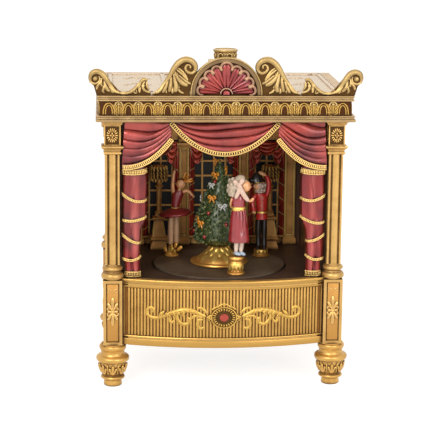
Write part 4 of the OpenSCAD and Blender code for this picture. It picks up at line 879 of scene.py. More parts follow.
def lobe(length, half, root, front):
    """A shell lobe up Z: widening, round at the tip, with a soft furrow down its middle."""
    swell, furrow, thickness, steps = 1.7, 0.8, 1.2, 14
    rows = []
    for k in range(steps + 1):
        z = root + (length - root) * (1 - (1 - k / steps) ** 1.6)
        short = max(half - (length - z), 0)
        round_tip = math.sqrt(max(half ** 2 - short ** 2, 0.0004))
        width = min(half * (0.2 + 0.8 * z / (length - half)), round_tip)
        row = []
        for s in (-1, -0.85, -0.65, -0.4, -0.2, 0, 0.2, 0.4, 0.65, 0.85, 1):
            rise = swell * width / half * (1 - s * s) ** 0.6
            row.append((width * s, front - rise + furrow * max(0, 1 - abs(s) * 2.6), z))
        rows.append(row + [(width, front + thickness, z), (-width, front + thickness, z)])
    return skin(rows, ring=True)


def scallop(reach, half):
    """The gilt edge round a lobe's tip."""
    radius = half + 0.25
    return strand([(radius * math.sin(a), -68.4, reach - half + radius * math.cos(a), 1.15)
                   for a in map(math.radians, (-104, -72, -36, 0, 36, 72, 104))], 3)


def fan_place(degrees):
    """Where a lobe stands in the fan, this far round from upright."""
    return shift(0, 0, arch_centre) @ tilt(math.radians(degrees))


middle_half, outer_half = 4, 3.3
outer_places = [fan_place(s * degrees) for s in (-1, 1) for degrees in (24, 44, 64, 83.5)]
boss = facing(turned([(0, -1), (3, -1), (2.9, 0.9), (2.2, 1.9), (0, 2.3)], sides=24), (0, -67.4, 221.2))
shell = joined([put_at(lobe(21.9, middle_half, 2, -67.4), fan_place(0)),
                repeated(lobe(20.6, outer_half, 2, -67.2), outer_places), boss])
boss_ring = strand([(4.3 * math.cos(a), -69, 220.9 + 4.3 * math.sin(a), 0.5)
                    for a in map(math.radians, range(0, 181, 30))], 3)
scallops = joined([put_at(scallop(22.2, middle_half), fan_place(0)),
                   repeated(scallop(20.9, outer_half), outer_places), boss_ring])
for piece in (shell, scallops):
    take_up(piece)
    bpy.ops.object.mode_set(mode="EDIT")
    bpy.ops.mesh.select_all(action="SELECT")
    bpy.ops.mesh.bisect(plane_co=(0, 0, roof_top + 0.1), plane_no=(0, 0, 1), clear_inner=True,
                        use_fill=True)
    bpy.ops.object.mode_set(mode="OBJECT")
rose_gold = gilding("rose_gold", ink(168, 128, 98), ink(126, 88, 62), ink(60, 30, 18), 0.5, 0.4)
settle(scallops, "shell_scalloped_edge", rose_gold)
shell = settle(shell, "shell_lobes", shell_red)
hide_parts("shell_fan")


# Scroll crests
# On each side of the arch, a tall volute runs down in acanthus leaves to a low festoon
# and an upright leaf, and rises to a smaller volute at the corner. Cast in one piece.

inner_plate = [(26.4, roof_top), (26.4, 222), (25.8, 226.4), (24.3, 231.2), (22.8, 234.2), (21, 238),
               (21.4, 241.4), (24.2, 245.4), (28.2, 247.2), (32, 246.8), (35.2, 244.4), (37.6, 240.8),
               (39.6, 236.6), (42.2, 232), (45.3, 227.8), (48.4, 224.7), (51.6, 221.6),
               (53.4, roof_top)]
corner_plate = [(53.6, roof_top), (55.4, 222), (57.4, 226), (57, 230), (59, 231.8), (61.4, 230.6),
                (63.2, 227), (66, 223.8), (70, 221.8), (73.4, 221.8), (77.6, 223.8), (80.4, 227),
                (83.6, 230.6), (87, 234.4), (89.8, 237.2), (92.8, 238.4), (96.2, 237.4), (98.3, 234),
                (98.2, 229.8), (95.2, 226.9), (93.2, roof_top)]
crest_lines = [
    [(53, 220.9, 0.7), (50, 222.6, 0.9), (46.6, 226, 1.1), (43.2, 230.6, 1.4),
     (40.6, 234.6, 1.7), (38, 239.4, 2), (34.6, 243.6, 2.2), (30, 246, 2.3), (25.4, 245, 2.2),
     (22.6, 241.8, 1.9), (22.5, 238.4, 1.5), (24.8, 236.3, 1.3), (27.8, 236.9, 1.2), (29.6, 239, 1.1),
     (29.2, 241.4, 1), (27.3, 242.4, 0.95), (25.9, 241.2, 0.9), (26.2, 239.9, 0.8)],
    [(36.8, 239.4, 0.7), (34, 237.2, 1), (31.4, 234.9, 1.1), (29.4, 232.4, 0.9)],
    [(37.4, 237.6, 0.9), (35.3, 232.8, 1.6), (31.8, 229.2, 2), (28.6, 227.6, 1.6)],
    [(36, 236.4, 0.6), (33.4, 231.9, 0.9), (30.2, 230, 0.8)],
    [(38.2, 236.2, 0.9), (37.3, 231.4, 1.6), (36.3, 227, 2), (36.8, 223.2, 1.9)],
    [(37.2, 233.6, 0.5), (35, 228.4, 0.9), (34.3, 225.4, 0.8)],
    [(40, 234.6, 0.9), (40, 230, 1.5), (40.5, 226, 1.8), (41.2, 223, 1.4)],
    [(38.8, 231, 0.5), (38.9, 226.4, 0.9), (39.2, 222.4, 0.9)],
    [(42, 232.2, 0.8), (42.9, 227.8, 1.4), (44.8, 223.9, 1.6), (45.8, 222, 1.2)],
    [(44.5, 229.6, 0.8), (46.4, 225.7, 1.3), (48.6, 223, 1.4), (50.6, 221.7, 1)],
    [(43, 227.4, 0.4), (43.2, 224.2, 0.8), (43.4, 221.8, 0.8)],
    [(97.2, 229.4, 0.9), (97.7, 232.6, 1.4), (96.4, 235.9, 1.9), (93, 237.3, 2.1), (89.4, 235.8, 2.2),
     (86.6, 232.4, 2.1), (84.4, 228.8, 1.8), (82, 225.4, 1.4), (79.4, 222.7, 1.2), (76.4, 221.6, 1.2),
     (73, 221.4, 1.4), (69.8, 222, 1.5), (66.8, 223.9, 1.4), (64.4, 226.3, 1.2), (62.8, 228.6, 1)],
    [(97.2, 229.6, 0.9), (94.4, 228.5, 1), (91.8, 229.6, 0.9), (90.8, 231.8, 0.8), (91.4, 233.8, 0.7)],
    [(89.6, 232, 0.8), (90, 229.4, 1.2), (89.4, 227.2, 1.1), (88.4, 226.6, 0.7)],
    [(87.4, 231.4, 0.9), (87.2, 228.2, 1.4), (85.8, 225, 1.7), (84.2, 223.2, 1.4)],
    [(85.4, 229.6, 0.9), (83.6, 226.4, 1.4), (81.2, 223.6, 1.5), (79.4, 222, 1.1)],
    [(86.4, 227.4, 0.5), (84.8, 224, 0.9), (83.4, 222.4, 0.8)],
    [(62.4, 222.2, 1), (62.8, 225.8, 1.2), (61.8, 229.2, 1.2), (59.6, 231.6, 1.3), (57.4, 231.4, 1)],
    [(58.8, 230, 0.7), (60.2, 227.4, 1), (59.6, 224.6, 1.2), (57.4, 222.8, 1.2), (54.9, 221.9, 0.8)],
    [(57.4, 229.8, 0.6), (57.2, 226.8, 1), (55.9, 224.4, 0.8)],
    [(67.2, 224.2, 0.5), (66.6, 222.4, 0.9), (64.8, 221.4, 1)],
    [(94.6, 231.8, 0.9), (94.2, 233.4, 0.9), (93, 233.6, 0.8)],
    [(88.6, 233.6, 0.7), (90.6, 229.4, 1), (92.6, 226.6, 1.1), (93, 224.6, 0.8)],
    [(86.4, 230.4, 0.8), (87.8, 226, 1.3), (88.6, 223.2, 1.2), (87.8, 221.6, 0.8)],
    [(82.6, 227, 0.8), (82.6, 224, 1.2), (81.4, 221.8, 1.1)],
    [(78.4, 223.4, 0.7), (77.6, 221.4, 0.8)],
    [(35.6, 240.2, 0.6), (32.4, 238, 0.9), (29.8, 234.6, 1.1), (28.2, 231, 1)],
    [(34.2, 234.6, 0.6), (31.4, 232, 1.1), (28.2, 229.6, 1.3), (25.8, 228.6, 0.9)],
    [(35.4, 225.4, 0.8), (33.4, 222.8, 1.2), (31.2, 221.6, 0.9)],
    [(38.6, 226.6, 0.8), (38.8, 223.6, 1.3), (38.8, 221.6, 1.1)]]
fronds = [(41.2, 232.4, 2.55, 5), (39.4, 236, 2.7, 4.4), (45.2, 228, 2.4, 4.6), (48.4, 224, 2.2, 4),
          (61.6, 226.6, 2.9, 4.4), (65, 224.6, -2.9, 3.2), (72, 222.2, 1.9, 4), (76, 222, -1.9, 4)]
left_and_right = ((-1, "left"), (1, "right"))
plate_front, ground_front = -67.8, -68.2
for side, word in left_and_right:
    lines = [strand([(x, ground_front + (1.1 - r) * 0.4, z, r) for x, z, r in line]) for line in crest_lines]
    lines += [put_at(bud(long, long * 0.36, 1.7, lean), (x, -68.4, z)) for x, z, lean, long in fronds]
    lines += [facing(turned([(0, -0.8), (1.9, -0.8), (1.8, 0.5), (1.1, 1.2), (0, 1.4)], sides=16),
                     (94.1, -68.5, 232.3))]
    lines += [facing(turned([(0, -0.8), (1.3, -0.8), (1.1, 0.6), (0, 1.1)], sides=12), (60, -68.6, 227))]
    relief = joined(lines)
    grounds = joined([cut_out(plate, ground_front, -67.7) for plate in (inner_plate, corner_plate)])
    plates = joined([cut_out(plate, plate_front, -64.6) for plate in (inner_plate, corner_plate)])
    if side < 0:
        for piece in (relief, grounds, plates):
            mirrored(piece)
    settle(grounds, "crest_ground_" + word, umber)
    settle(plates, "crest_plate_" + word, pale_gold)
    relief = settle(relief, "crest_scrolls_" + word, pale_gold)
    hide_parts("crest_" + word)


# Plinth and crown finial
# Behind the arch a moulded plinth carries a low crown, a drum with a ring of little
# arched windows under a plain rim: both are gilt resin.

plinth_top = 244
plinth = moulded(12, 9.6, [(0, roof_top), (0, 222), (1.2, 223), (1.6, 224.4), (1.6, 239.6), (1, 240.8),
                           (0.2, 241.4), (0, 242.6), (0.4, plinth_top)], (0, -54.3))
plinth = settle(plinth, "crown_plinth_block", pale_gold)
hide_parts("crown_plinth")
crown_at = (0, -54.7, 0)
drum = turned([(0, plinth_top), (8.4, plinth_top), (8.4, 244.6), (7.9, 245), (7.8, 249.9), (8.3, 250.2),
               (8.7, 250.7), (9, 251.4), (8.7, 252.1), (7.8, 252.2), (7.3, 251.6), (0, 251.3)], crown_at)
window_turns = ring_turns(8, 0.35)
window_frame = strand([(1.7 * math.cos(a), 0, 247.6 + 1.9 * math.sin(a), 0.5)
                       for a in map(math.radians, (-60, 0, 30, 60, 90, 120, 150, 180, 240))], 2)
window_frames = repeated(window_frame, [shift(*crown_at) @ turn_z(turn) @ shift(0, -8, 0)
                                        for turn in window_turns])
# The windows are dark ovals on the drum: painted shade for the arched openings.
windows = repeated(bud(4.1, 2.6, 1), [shift(*crown_at) @ turn_z(turn) @ shift(0, -7.7, 245.4)
                                      for turn in window_turns])
crown = settle(joined([drum, window_frames]), "crown_drum", pale_gold)
settle(windows, "crown_window_shades", dark_field)
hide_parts("crown_finial")


# Front drapes
# The drapery is cast in resin too, stiff folds with a crimson lustre: a middle swag, two
# side swags, two rounded curtains bound with gilt ribbons. Nothing here is cloth.

def crease(phase, sharp=0.6):
    """Rounded folds between sharp creases."""
    return abs(math.sin(math.pi * phase)) ** sharp


def thick(piece, depth=1.2):
    """Gives a sheet its thickness, half to each side."""
    take_up(piece)
    made = piece.modifiers.new("thick", "SOLIDIFY")
    made.thickness, made.offset = depth, 0
    bpy.ops.object.modifier_apply(modifier="thick")
    return whole(piece, 60)


def galloon(path, height, gap=1.0, front=0.0, cord=0.5):
    """A ribbed gilt band that hangs from a path of (x, y, z) points, with a cord at each edge."""
    run = [Vector(point) for point in eased(path, 6)]
    ways = [(b - a).normalized() for a, b in zip(run, run[1:])]
    down = [Vector((way.z, 0, -way.x)).normalized() for way in ways + ways[-1:]]
    down = [way if way.z < 0 else -way for way in down]
    behind, before, rib_at = Vector((0, 0.3, 0)), Vector((0, -0.35, 0)), Vector((0, -0.45 - front, 0))
    web = thick(skin([[point + behind + way * height * s for s in (0, 0.5, 1)]
                      for point, way in zip(run, down)]), 0.5)
    edge = list(zip(run, down))[::3] + [(run[-1], down[-1])]
    cords = [strand([(*(point + way * height * s + before), cord) for point, way in edge], 2)
             for s in (0, 1)]
    length, places = 0.0, []
    for start, end, way in zip(run, run[1:], down):
        step = (end - start).length
        while length < step:
            spot = start.lerp(end, length / step) + rib_at
            places.append(shift(*spot) @ way.to_track_quat("Z", "Y").to_matrix().to_4x4())
            length += gap
        length -= step
    ribs = repeated(bud(height, gap * 0.72, 1.1), places)
    return joined([web, ribs] + cords)


# These reds are darker in their creases as painted shade; the curtains also carry a painted highlight down
# each side.
swag_red = lustre("swag_red", ink(178, 76, 68), ink(180, 58, 36), ink(104, 28, 30), ink(40, 8, 8))
curtain_red = lustre("curtain_red", ink(146, 42, 38), ink(130, 32, 26), ink(80, 20, 22), ink(36, 8, 10),
                     0.0655, ink(196, 92, 84))
braid_gold = gilding("braid_gold", ink(216, 178, 106), ink(170, 126, 62), ink(60, 30, 12), 0.55, 0.34)


swag_top = 199.6


def side_fold(across, down):
    """Where a side swag lies: across from its inner end to the post, down to its hem."""
    outer = swag_top - (swag_top - 165) * down
    inner = 200.4 - 13.4 * down ** 1.4
    sag = 5.5 * (1 - down) * min(down * 5, 1) * math.sin(math.pi * across)
    z = outer + (inner - outer) * (1 - across) ** 2.2 - sag
    x = 39.3 + 35.6 * across
    if z > 171:
        x = min(x, 74.9 - (min(z, 196) - 171) * 0.09)
    return x, z


for side, word in left_and_right:
    rows = []
    for down in (k / 80 for k in range(81)):
        row = []
        for across in (k / 30 for k in range(31)):
            x, z = side_fold(across, down)
            phase = 5.6 * down ** 1.15 + 0.5 * math.sin(2.4 * across + 0.8 + side) * (1.1 - down)
            deep = 0.35 + 0.65 * math.sin(math.pi * min(across * 0.75 + 0.12, 1))
            deep *= 0.7 + 0.3 * math.sin(5 * down + 1)
            row.append((side * x, -59.6 - 3 * deep * crease(phase), z))
        rows.append(row)
    drape = settle(thick(skin(rows)), "side_swag_" + word, swag_red)
    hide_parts("swag_" + word)
    hem = [side_fold(t, 0.94) for t in (0.02, 0.12, 0.25, 0.4, 0.55, 0.7, 0.85, 0.99)]
    band = galloon([(side * x, -62, z + 0.6) for x, z in hem], 2.8, 1.35, 0.1)
    settle(band, "side_swag_galloon_" + word, braid_gold)

rows = []
for down in (k / 70 for k in range(71)):
    low, end = 200.9 - 24.6 * down, 200.9 - 2 * down
    row = []
    for k in range(-24, 25):
        share = k / 24
        deep = 3.2 * crease(3.6 * down ** 1.15 + 0.3 * math.sin(k / 8 + 2.4 * down))
        deep *= (1 - 0.5 * share ** 4) * (0.8 + 0.2 * math.sin(5 * down + k / 9))
        row.append((38.6 * share, -59.7 - deep, low + (end - low) * abs(share) ** 2.1))
    rows.append(row)
drape = settle(thick(skin(rows)), "middle_swag", swag_red)
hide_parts("centre_swag")
hem = [(38.4 * t, 177.6 + 22.4 * abs(t) ** 2.1)
       for t in (-1, -0.85, -0.7, -0.5, -0.25, 0, 0.25, 0.5, 0.7, 0.85, 1)]
rope = galloon([(x, -62.5, z) for x, z in hem], 2.6, 1.7, 0.2)
settle(rope, "middle_swag_rope", braid_gold)


def read_off(line, z):
    """The value at height z on a line of (height, value) points, level beyond its end."""
    for (z0, v0), (z1, v1) in zip(line, line[1:]):
        if z <= z1:
            return v0 + (v1 - v0) * (z - z0) / (z1 - z0)
    return line[-1][1]


curtain_foot, curtain_top, curtain_outer = 82.9, 173, 73
curtain_inner = [(82, 61.4), (92, 61.8), (108, 61.6), (119, 60.6), (127, 57.4), (142, 57.2), (152, 56.8),
                 (161, 57), (curtain_top, 58.6)]


def curtain_edges(z):
    """The inner and outer edges of a bound curtain at a height."""
    outer = curtain_outer if z < 94 else min(curtain_outer + (z - 94) * 0.5, 75.1)
    return read_off(curtain_inner, z), outer


def curtain_face(s, z, puff=True):
    """How far forward a curtain stands, s from 0 at its inner edge to 1 at the outer one."""
    body = math.sqrt(max(1 - (2 * s - 1) ** 2, 0))
    valley = math.exp(-((s - 0.5 - 0.06 * math.sin(z / 7)) / 0.085) ** 2)
    if not puff:
        return -53.6 - 4.3 * body ** 0.6
    swell = 0.25 * math.sin(z / 3.1)
    return -53.6 - (4.3 + swell) * body ** 0.6 + 1.1 * valley + 0.35 * math.sin(11 * s + z / 11) * body


# Each tie's height at the post and at the stage, how far it sags, its width and its cords
top_tie = (162.4, 163, 0.7, 3.2, 0.45)
ties = {"left": ((146.6, 141.2, 3), (126.4, 128.6, 1.6), (116.2, 109, 1.8), (97.6, 98.6, 2)),
        "right": ((145.2, 142.4, 3), (124.6, 128.4, 2.4), (115.6, 110, 1.6), (97.4, 99, 2))}
for side, word in left_and_right:
    rows = []
    for k in range(73):
        z = curtain_foot + (curtain_top - curtain_foot) * k / 72
        inner, outer = curtain_edges(z)
        row = [(side * (inner + (outer - inner) * s / 24), curtain_face(s / 24, z), z) for s in range(25)]
        rows.append(row + [(side * outer, -53, z), (side * inner, -53, z)])
    drape = settle(skin(rows, ring=True), "bound_curtain_" + word, curtain_red)
    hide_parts("curtain_" + word)
    bands = []
    for at_post, at_stage, sag, width, cord in [(*tie, 1.35, 0.36) for tie in ties[word]] + [top_tie]:
        path = []
        for t in (0, 0.08, 0.2, 0.35, 0.5, 0.65, 0.8, 0.92, 1):
            z = at_post + (at_stage - at_post) * t - sag * 4 * t * (1 - t)
            inner, outer = curtain_edges(z)
            path.append((side * (outer + (inner - outer) * t), curtain_face(1 - t, z, False) - 0.25,
                         z + width / 2))
        bands.append(galloon(path, width, 1.2, 0, cord))
    foot = [(side * (curtain_outer + (61.2 - curtain_outer) * t), curtain_face(1 - t, 85, False) - 0.2, 87.2)
            for t in (0.02, 0.2, 0.35, 0.5, 0.65, 0.8, 0.98)]
    bands.append(galloon(foot, 3.4, 1.25, 0.1))
    settle(joined(bands), "curtain_ribbons_" + word, braid_gold)


# Walls, pilasters and windows
# The room behind: painted side walls, and a back wall with panelled pilasters on plinths,
# sills over a dado, dark panes behind gilt glazing bars, and painted valances.

# Painted light: the room's gold is brighter and less metallic than the gilding outside, to stand in for
# light in the shaded stage.
room_gold = gilding("room_gold", ink(240, 178, 98), ink(190, 128, 60), ink(60, 32, 14), 0.25, 0.4)
# The walls' inner faces are dark brown, partly paint and partly painted shade.
wall_paint = two_sided("wall_paint", "X", 0.0722, -0.0437)
for _, word in left_and_right:
    lay_finish("side_wall_" + word, wall_paint)
lay_finish("back_wall", two_sided("back_paint", "Y", 0.0625))
lay_finish("window_frames", room_gold)
night = Finish("night_panes")
shade = ((night.noise(26, 2) - 0.3) * 1.6).kept()
night_panes = night.put(Base_Color=night.blend(shade, ink(14, 15, 12), ink(26, 32, 26)), Roughness=0.55)
lay_finish("window_panes", night_panes)

stage_top, pilaster_foot, pilaster_top = 81.6, 88.5, 161.4
pilasters = []
for x, half in ((-61.6, 4.4), (-24, 4), (24, 4), (61.6, 4.4)):
    inner = half - 1.9
    for x0, x1, z0, z1 in ((-half, -inner, pilaster_foot, pilaster_top),
                           (inner, half, pilaster_foot, pilaster_top),
                           (-inner, inner, pilaster_foot, 90.4), (-inner, inner, 159.2, pilaster_top)):
        pilasters.append(slab((x + x0, 57.2, z0), (x + x1, 58.6, z1), 0.3))
    pilasters += [moulded(half + 1.6, 1.8, [
        (1.6, 160.9), (1.1, 161.6), (1.2, 162.4), (0.4, 163), (0, 163.4), (0, 165.2), (0.5, 165.6),
        (1.4, 165.8), (1.4, 176)], (x, 57.5))]
    pilasters += [moulded(half + 0.9, 1.5, [
        (0.2, stage_top), (0, 82), (0, 86.6), (0.5, 87), (0.9, 87.6), (0.9, 88.6)], (x, 57.4))]
    pilasters += [put_at(bud(5.4, 2.6, 1.6, way), (x, 56.4, 166)) for way in (-0.75, 0, 0.75)]
for x0, x1 in ((-57.2, -28), (-20, 20), (28, 57.2)):
    pilasters += [slab((x0 + 0.1, 56.6, 87.6), (x1 - 0.1, 59.6, 89.4), 0.4)]
    pilasters += [slab((x0 + 0.1, 58.2, 82.4), (x1 - 0.1, 59.8, 83.8), 0.3)]
settle(joined(pilasters), "room_pilasters", room_gold)


def half_moon(x0, x1, top, low, front):
    """A small painted swag of four folds between two corners, and its gilt edge."""
    middle, half = (x0 + x1) / 2, (x1 - x0) / 2
    rows = [[(middle + half * s / 8, front - 1.1 * crease(3.5 * k / 18) * (1 - 0.6 * (s / 8) ** 4),
              top - (top - low) * (k / 18) * (1 - abs(s / 8) ** 2.2) - 1.4 * k / 18) for s in range(-8, 9)]
            for k in range(19)]
    edge = strand([(middle + half * s, front - 0.7, top - (top - low) * (1 - abs(s) ** 2.2) - 1.2, 0.45)
                   for s in (-1, -0.8, -0.5, -0.2, 0.2, 0.5, 0.8, 1)], 3)
    return thick(skin(rows), 0.6), edge


valance_top, sill_top = 166, 89.8
valances, edges = [], []
for middle, half, moon in ((-42.6, 14.6, 12), (0, 20, 12.6), (42.6, 14.6, 12)):
    for x0, x1, low, front in ((middle - half + 0.1, middle - half + moon, 149.6, 58.4),
                               (middle + half - moon, middle + half - 0.1, 149.6, 58.4),
                               (middle - half * 0.66, middle + half * 0.66, 156.4, 57.4)):
        swag, edge = half_moon(x0, x1, valance_top, low, front)
        valances.append(swag)
        edges.append(edge)
    for side, _ in left_and_right:
        outer = middle + side * (half - 0.15)
        rows = []
        for k in range(31):
            z = sill_top + (valance_top - sill_top) * k / 30
            wide = 3.6 + 1.5 * (k / 30) ** 2
            rows.append([(outer - side * wide * s / 8, 58.5 - 0.9 * crease(2.5 * s / 8), z)
                         for s in range(9)])
        valances.append(thick(skin(rows), 0.6))
        edges += [strand([(outer - side * 4.4 * t, 57.5, z + 3 * t, 0.42) for t in (0, 0.5, 1)], 3)
                  for z in (94, 106, 118, 130, 142)]
vermilion = lustre("valance_red", ink(216, 84, 54), ink(206, 64, 38), ink(160, 40, 30), ink(84, 24, 14))
valances = settle(joined(valances), "window_valances", vermilion)
settle(joined(edges), "window_valance_edges", pale_gold)
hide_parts("window_drapes")


# Torcheres
# Two tall lamp stands against the back wall: a stepped pedestal with a sunk panel, a
# plain shaft, and a dense crown of gilt curls with a ring of bright drops under it.

def pedestal(rings):
    """A square tapering block from (height, half width) rings."""
    return moulded(10, 10, [(10 - half, z) for z, half in rings])


stand = [pedestal([
    (stage_top, 6.6), (83.4, 6.6), (84, 6.2), (88.2, 5), (88.6, 4.6), (89.2, 6), (89.6, 6.4), (91, 6.4),
    (91.6, 5.8), (92.2, 5.4), (104.6, 3.5), (105.2, 3.3), (105.6, 4.4), (106, 5), (107, 5),
    (107.4, 4.2), (108, 3), (110.2, 2.6)])]
stand += [turned([
    (0, 110), (3.2, 110), (3.4, 110.6), (3.2, 111.4), (2.2, 112), (1.9, 112.8), (1.9, 130.6),
    (2.4, 131), (3.2, 131.4), (3.3, 132.4), (2.4, 133), (1.5, 133.8), (1.4, 135.4), (2.8, 136.6),
    (3, 138), (0, 138.4)], sides=24)]
panel_edge = [strand([(s * 4, 0.35, 94, 0.5), (s * 2.8, 1.9, 103.6, 0.45)], 2, blunt=False)
              for s in (-1, 1)]
stand += [repeated(joined(panel_edge), [turn_z(turn) @ shift(0, -5.3, 0) for turn in ring_turns(4)])]
curls = joined([strand([(3.6, 0, low + 0.4, 0.5), (out - 1, 0.5, low, 0.5), (out, 0.2, low + 1.6, 0.6),
                        (out - 0.8, -0.6, low + 3.2, 0.5), (out - 2, -0.3, low + 2.6, 0.4)], 2)
                for low, out in ((138.6, 6.9), (141.4, 7.1), (144.4, 6.6))])
stand += [repeated(curls, [turn_z(turn) for turn in ring_turns(14)]),
          repeated(bud(3.4, 1.7, 1.5), [turn_z(turn) @ shift(-6, 0, 145.4) for turn in ring_turns(14)])]
drops = repeated(bud(3, 1.5, 1.5), [turn_z(turn) @ shift(-6.3, 0, 135.8) for turn in ring_turns(14, 0.5)])
core = turned([(0, 138), (3.8, 138.4), (4.9, 140), (5, 145.6), (4, 148), (2.6, 148.8), (0, 149)], sides=24)
lamp_stand = joined(stand + [core])
bead_gold = glazed("bead_gold", ink(255, 206, 116), 0.3, 0.2)
for side, word in left_and_right:
    place = (side * 44.5, 47.1, 0)
    beads = repeated(drops.copy(), [place])
    settle(beads, "torchere_drops_" + word, bead_gold)
    cast = repeated(lamp_stand.copy(), [place])
    settle(cast, "torchere_cast_" + word, room_gold)
    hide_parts("torchere_" + word)
bpy.data.objects.remove(lamp_stand)
bpy.data.objects.remove(drops)


# Stage floor and turntable
# A dark painted floor with a fine speckle, gilt on the ledge outside the walls and near black
# round the disc as painted shade for its groove, and the disc that turns in it, with slight
# wear and a painted sheen in pale patches.

axis_y, ledge_side, ledge_back, groove_shade_radius = -9.1, 0.0731, 0.0639, 0.0521
stage_paint = Finish("stage_paint")
ledge = ((abs(stage_paint.along("X")) > ledge_side) + (stage_paint.along("Y") > ledge_back)).kept()
cloud = stage_paint.noise(38, 3)
speck = stage_paint.noise(900, 2)
dark = stage_paint.blend(((cloud - 0.35) * 2).kept(), ink(84, 60, 46), ink(50, 35, 26))
from_axis = stage_paint.node("VectorMath", (stage_paint.place, (0, axis_y / 1000, 0.08)), out=1,
                             operation="DISTANCE")
# Painted shade: the floor is near black inside the groove's radius, so the gap round the disc shows dark.
dark = stage_paint.blend(from_axis < groove_shade_radius, dark, ink(20, 14, 10))
stage_paint.put(Base_Color=stage_paint.blend(ledge, dark, ink(206, 162, 86)), Metallic=ledge * 0.6,
                Roughness=speck * 0.2 + 0.42 - ledge * 0.1, Normal=stage_paint.relief(speck, 0.00006))
lay_finish("stage_floor", stage_paint.material)
disc_paint = Finish("disc_paint")
cloud = disc_paint.noise(30, 4)
speck = disc_paint.noise(700, 3)
# Pale grey patches: partly wear, partly a painted sheen.
wear_and_painted_light = ((cloud - 0.42) * 2.4 + (speck - 0.5) * 0.8).kept()
disc_paint.put(Base_Color=disc_paint.blend(wear_and_painted_light, ink(84, 66, 50), ink(132, 118, 98)),
               Roughness=0.5 - wear_and_painted_light * 0.12, Normal=disc_paint.relief(speck, 0.00006))
lay_finish("turntable", disc_paint.material)


# Tree and its stand
# A moulded fir of overlapping tufts with frosted tips, dressed with bows and balls, on a
# broad gilt foot like a heap of leaves on a plate. It turns with the disc.

def hub(piece):
    """Sets a piece made round Z on the turntable's axis."""
    return put_at(piece, (0, axis_y, 0))


fir = Finish("frosted_fir")
upward = fir.node("SeparateXYZ", (fir.node("NewGeometry", out="Normal"),), out=2)
# Pale frost in random specks, and paler on faces that look up.
frost_and_top_paleness = ((fir.noise(420, 3) - 0.5) * 3.2 + upward * 0.35 - 0.12).kept()
fir.put(Base_Color=fir.blend(frost_and_top_paleness, fir.blend(fir.noise(160, 2), ink(40, 58, 24), ink(68, 82, 34)),
                             ink(170, 174, 112)), Roughness=0.5 - frost_and_top_paleness * 0.1, Coat_Weight=0.2)
random.seed(7)


def tree_half(z):
    """The tree's half width at a height."""
    return read_off([(98.4, 15), (103, 19), (112, 18.6), (121, 17), (130, 13.4), (141, 9.6), (152, 5.6),
                     (160, 3), (164, 0.8)], z)


tufts, golden_angle = 620, 2.39996
places = []
for k in range(tufts):
    share = (k + 0.5) / tufts
    z = 100.4 + 62 * (1 - (1 - share) ** 0.62)
    turn = k * golden_angle + random.uniform(-0.3, 0.3)
    out = tree_half(z) - 2.2
    places.append(turn_z(turn) @ shift(max(out, 0.2), 0, z - 0.4)
                  @ tilt(random.uniform(1.2, 2.3)) @ turn_z(random.uniform(-0.6, 0.6))
                  @ Matrix.Scale(random.uniform(0.7, 1.15) * (0.6 + 0.4 * min(out / 8, 1)), 4))
foliage = repeated(bud(3.4, 2.2, 1.7), places)
trunk_line = [(max(tree_half(z) - 2.4, 0.3), z) for z in range(99, 163, 4)]
trunk = turned([(0, 98.1)] + trunk_line + [(0, 163.4)], sides=32)
tip = put_at(bud(3.2, 1.6, 1.6), (0, 0, 161))
tree = settle(hub(joined([foliage, trunk, tip])), "fir_foliage", fir.material, "turntable")
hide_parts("tree")


def ribbon_bow(radius, z, size, turn):
    """A ribbon bow, two loops, a knot and two tails, set on the tree at a radius and height."""
    loops = [strand([(0, 0, 0, 0.5), (s * 1.6, -0.5, 1.2, 0.6), (s * 2.6, -0.3, 0.2, 0.6),
                     (s * 1.4, -0.5, -0.5, 0.5), (0, 0, 0, 0.5)], 3) for s in (-1, 1)]
    tails = [strand([(0, -0.2, 0, 0.5), (s * 0.9, -0.6, -1.4, 0.5), (s * 1.6, -0.4, -2.8, 0.55)], 3)
             for s in (-1, 1)]
    knot = put_at(bud(1.4, 1.2, 1.3), (0, -0.5, -0.7))
    return put_at(joined(loops + tails + [knot]),
                  turn_z(turn) @ shift(0, -radius, z) @ Matrix.Scale(size, 4))


def tree_turn(x, z):
    """The angle and radius that put a trimming at this x on the front of the tree."""
    radius = tree_half(z) + 0.2
    return math.asin(max(min(x / radius, 0.98), -0.98)), radius


amber = glazed("amber_ribbon", ink(232, 150, 44), 0.35, 0.3)
silver = glazed("silver_ribbon", ink(206, 204, 196), 0.35, 0.2)
ball_red = glazed("ball_red", ink(164, 44, 40), 0.25, 0.3)
ambers, silvers, balls = [], [], []
for x, z in ((4.8, 156), (-6.2, 135.4), (-14.6, 116), (12, 122)):
    turn, radius = tree_turn(x, z)
    ambers += [ribbon_bow(radius, z + up, 1.25, turn + more) for up, more in ((0, 0), (5, 2.1), (-4, 4.1))]
for x, z in ((1.4, 129.5), (9, 141)):
    turn, radius = tree_turn(x, z)
    silvers += [ribbon_bow(radius, z + up, size, turn + more)
                for up, size, more in ((0, 1.2, 0), (-6, 1.1, 2.6), (4, 1, 4.4))]
for x, z in ((-4, 147), (4, 116), (-9, 124), (10, 108), (-12, 106)):
    turn, radius = tree_turn(x, z)
    balls += [put_at(bud(3.4, 2.7, 3.4), turn_z(turn + more) @ shift(0, -radius, z - 1.7))
              for more in (0, 2.1, 4.2)]
settle(hub(joined(ambers)), "tree_amber_bows", amber, "turntable")
settle(hub(joined(silvers)), "tree_silver_bows", silver, "turntable")
settle(hub(joined(balls)), "tree_balls", ball_red, "turntable")

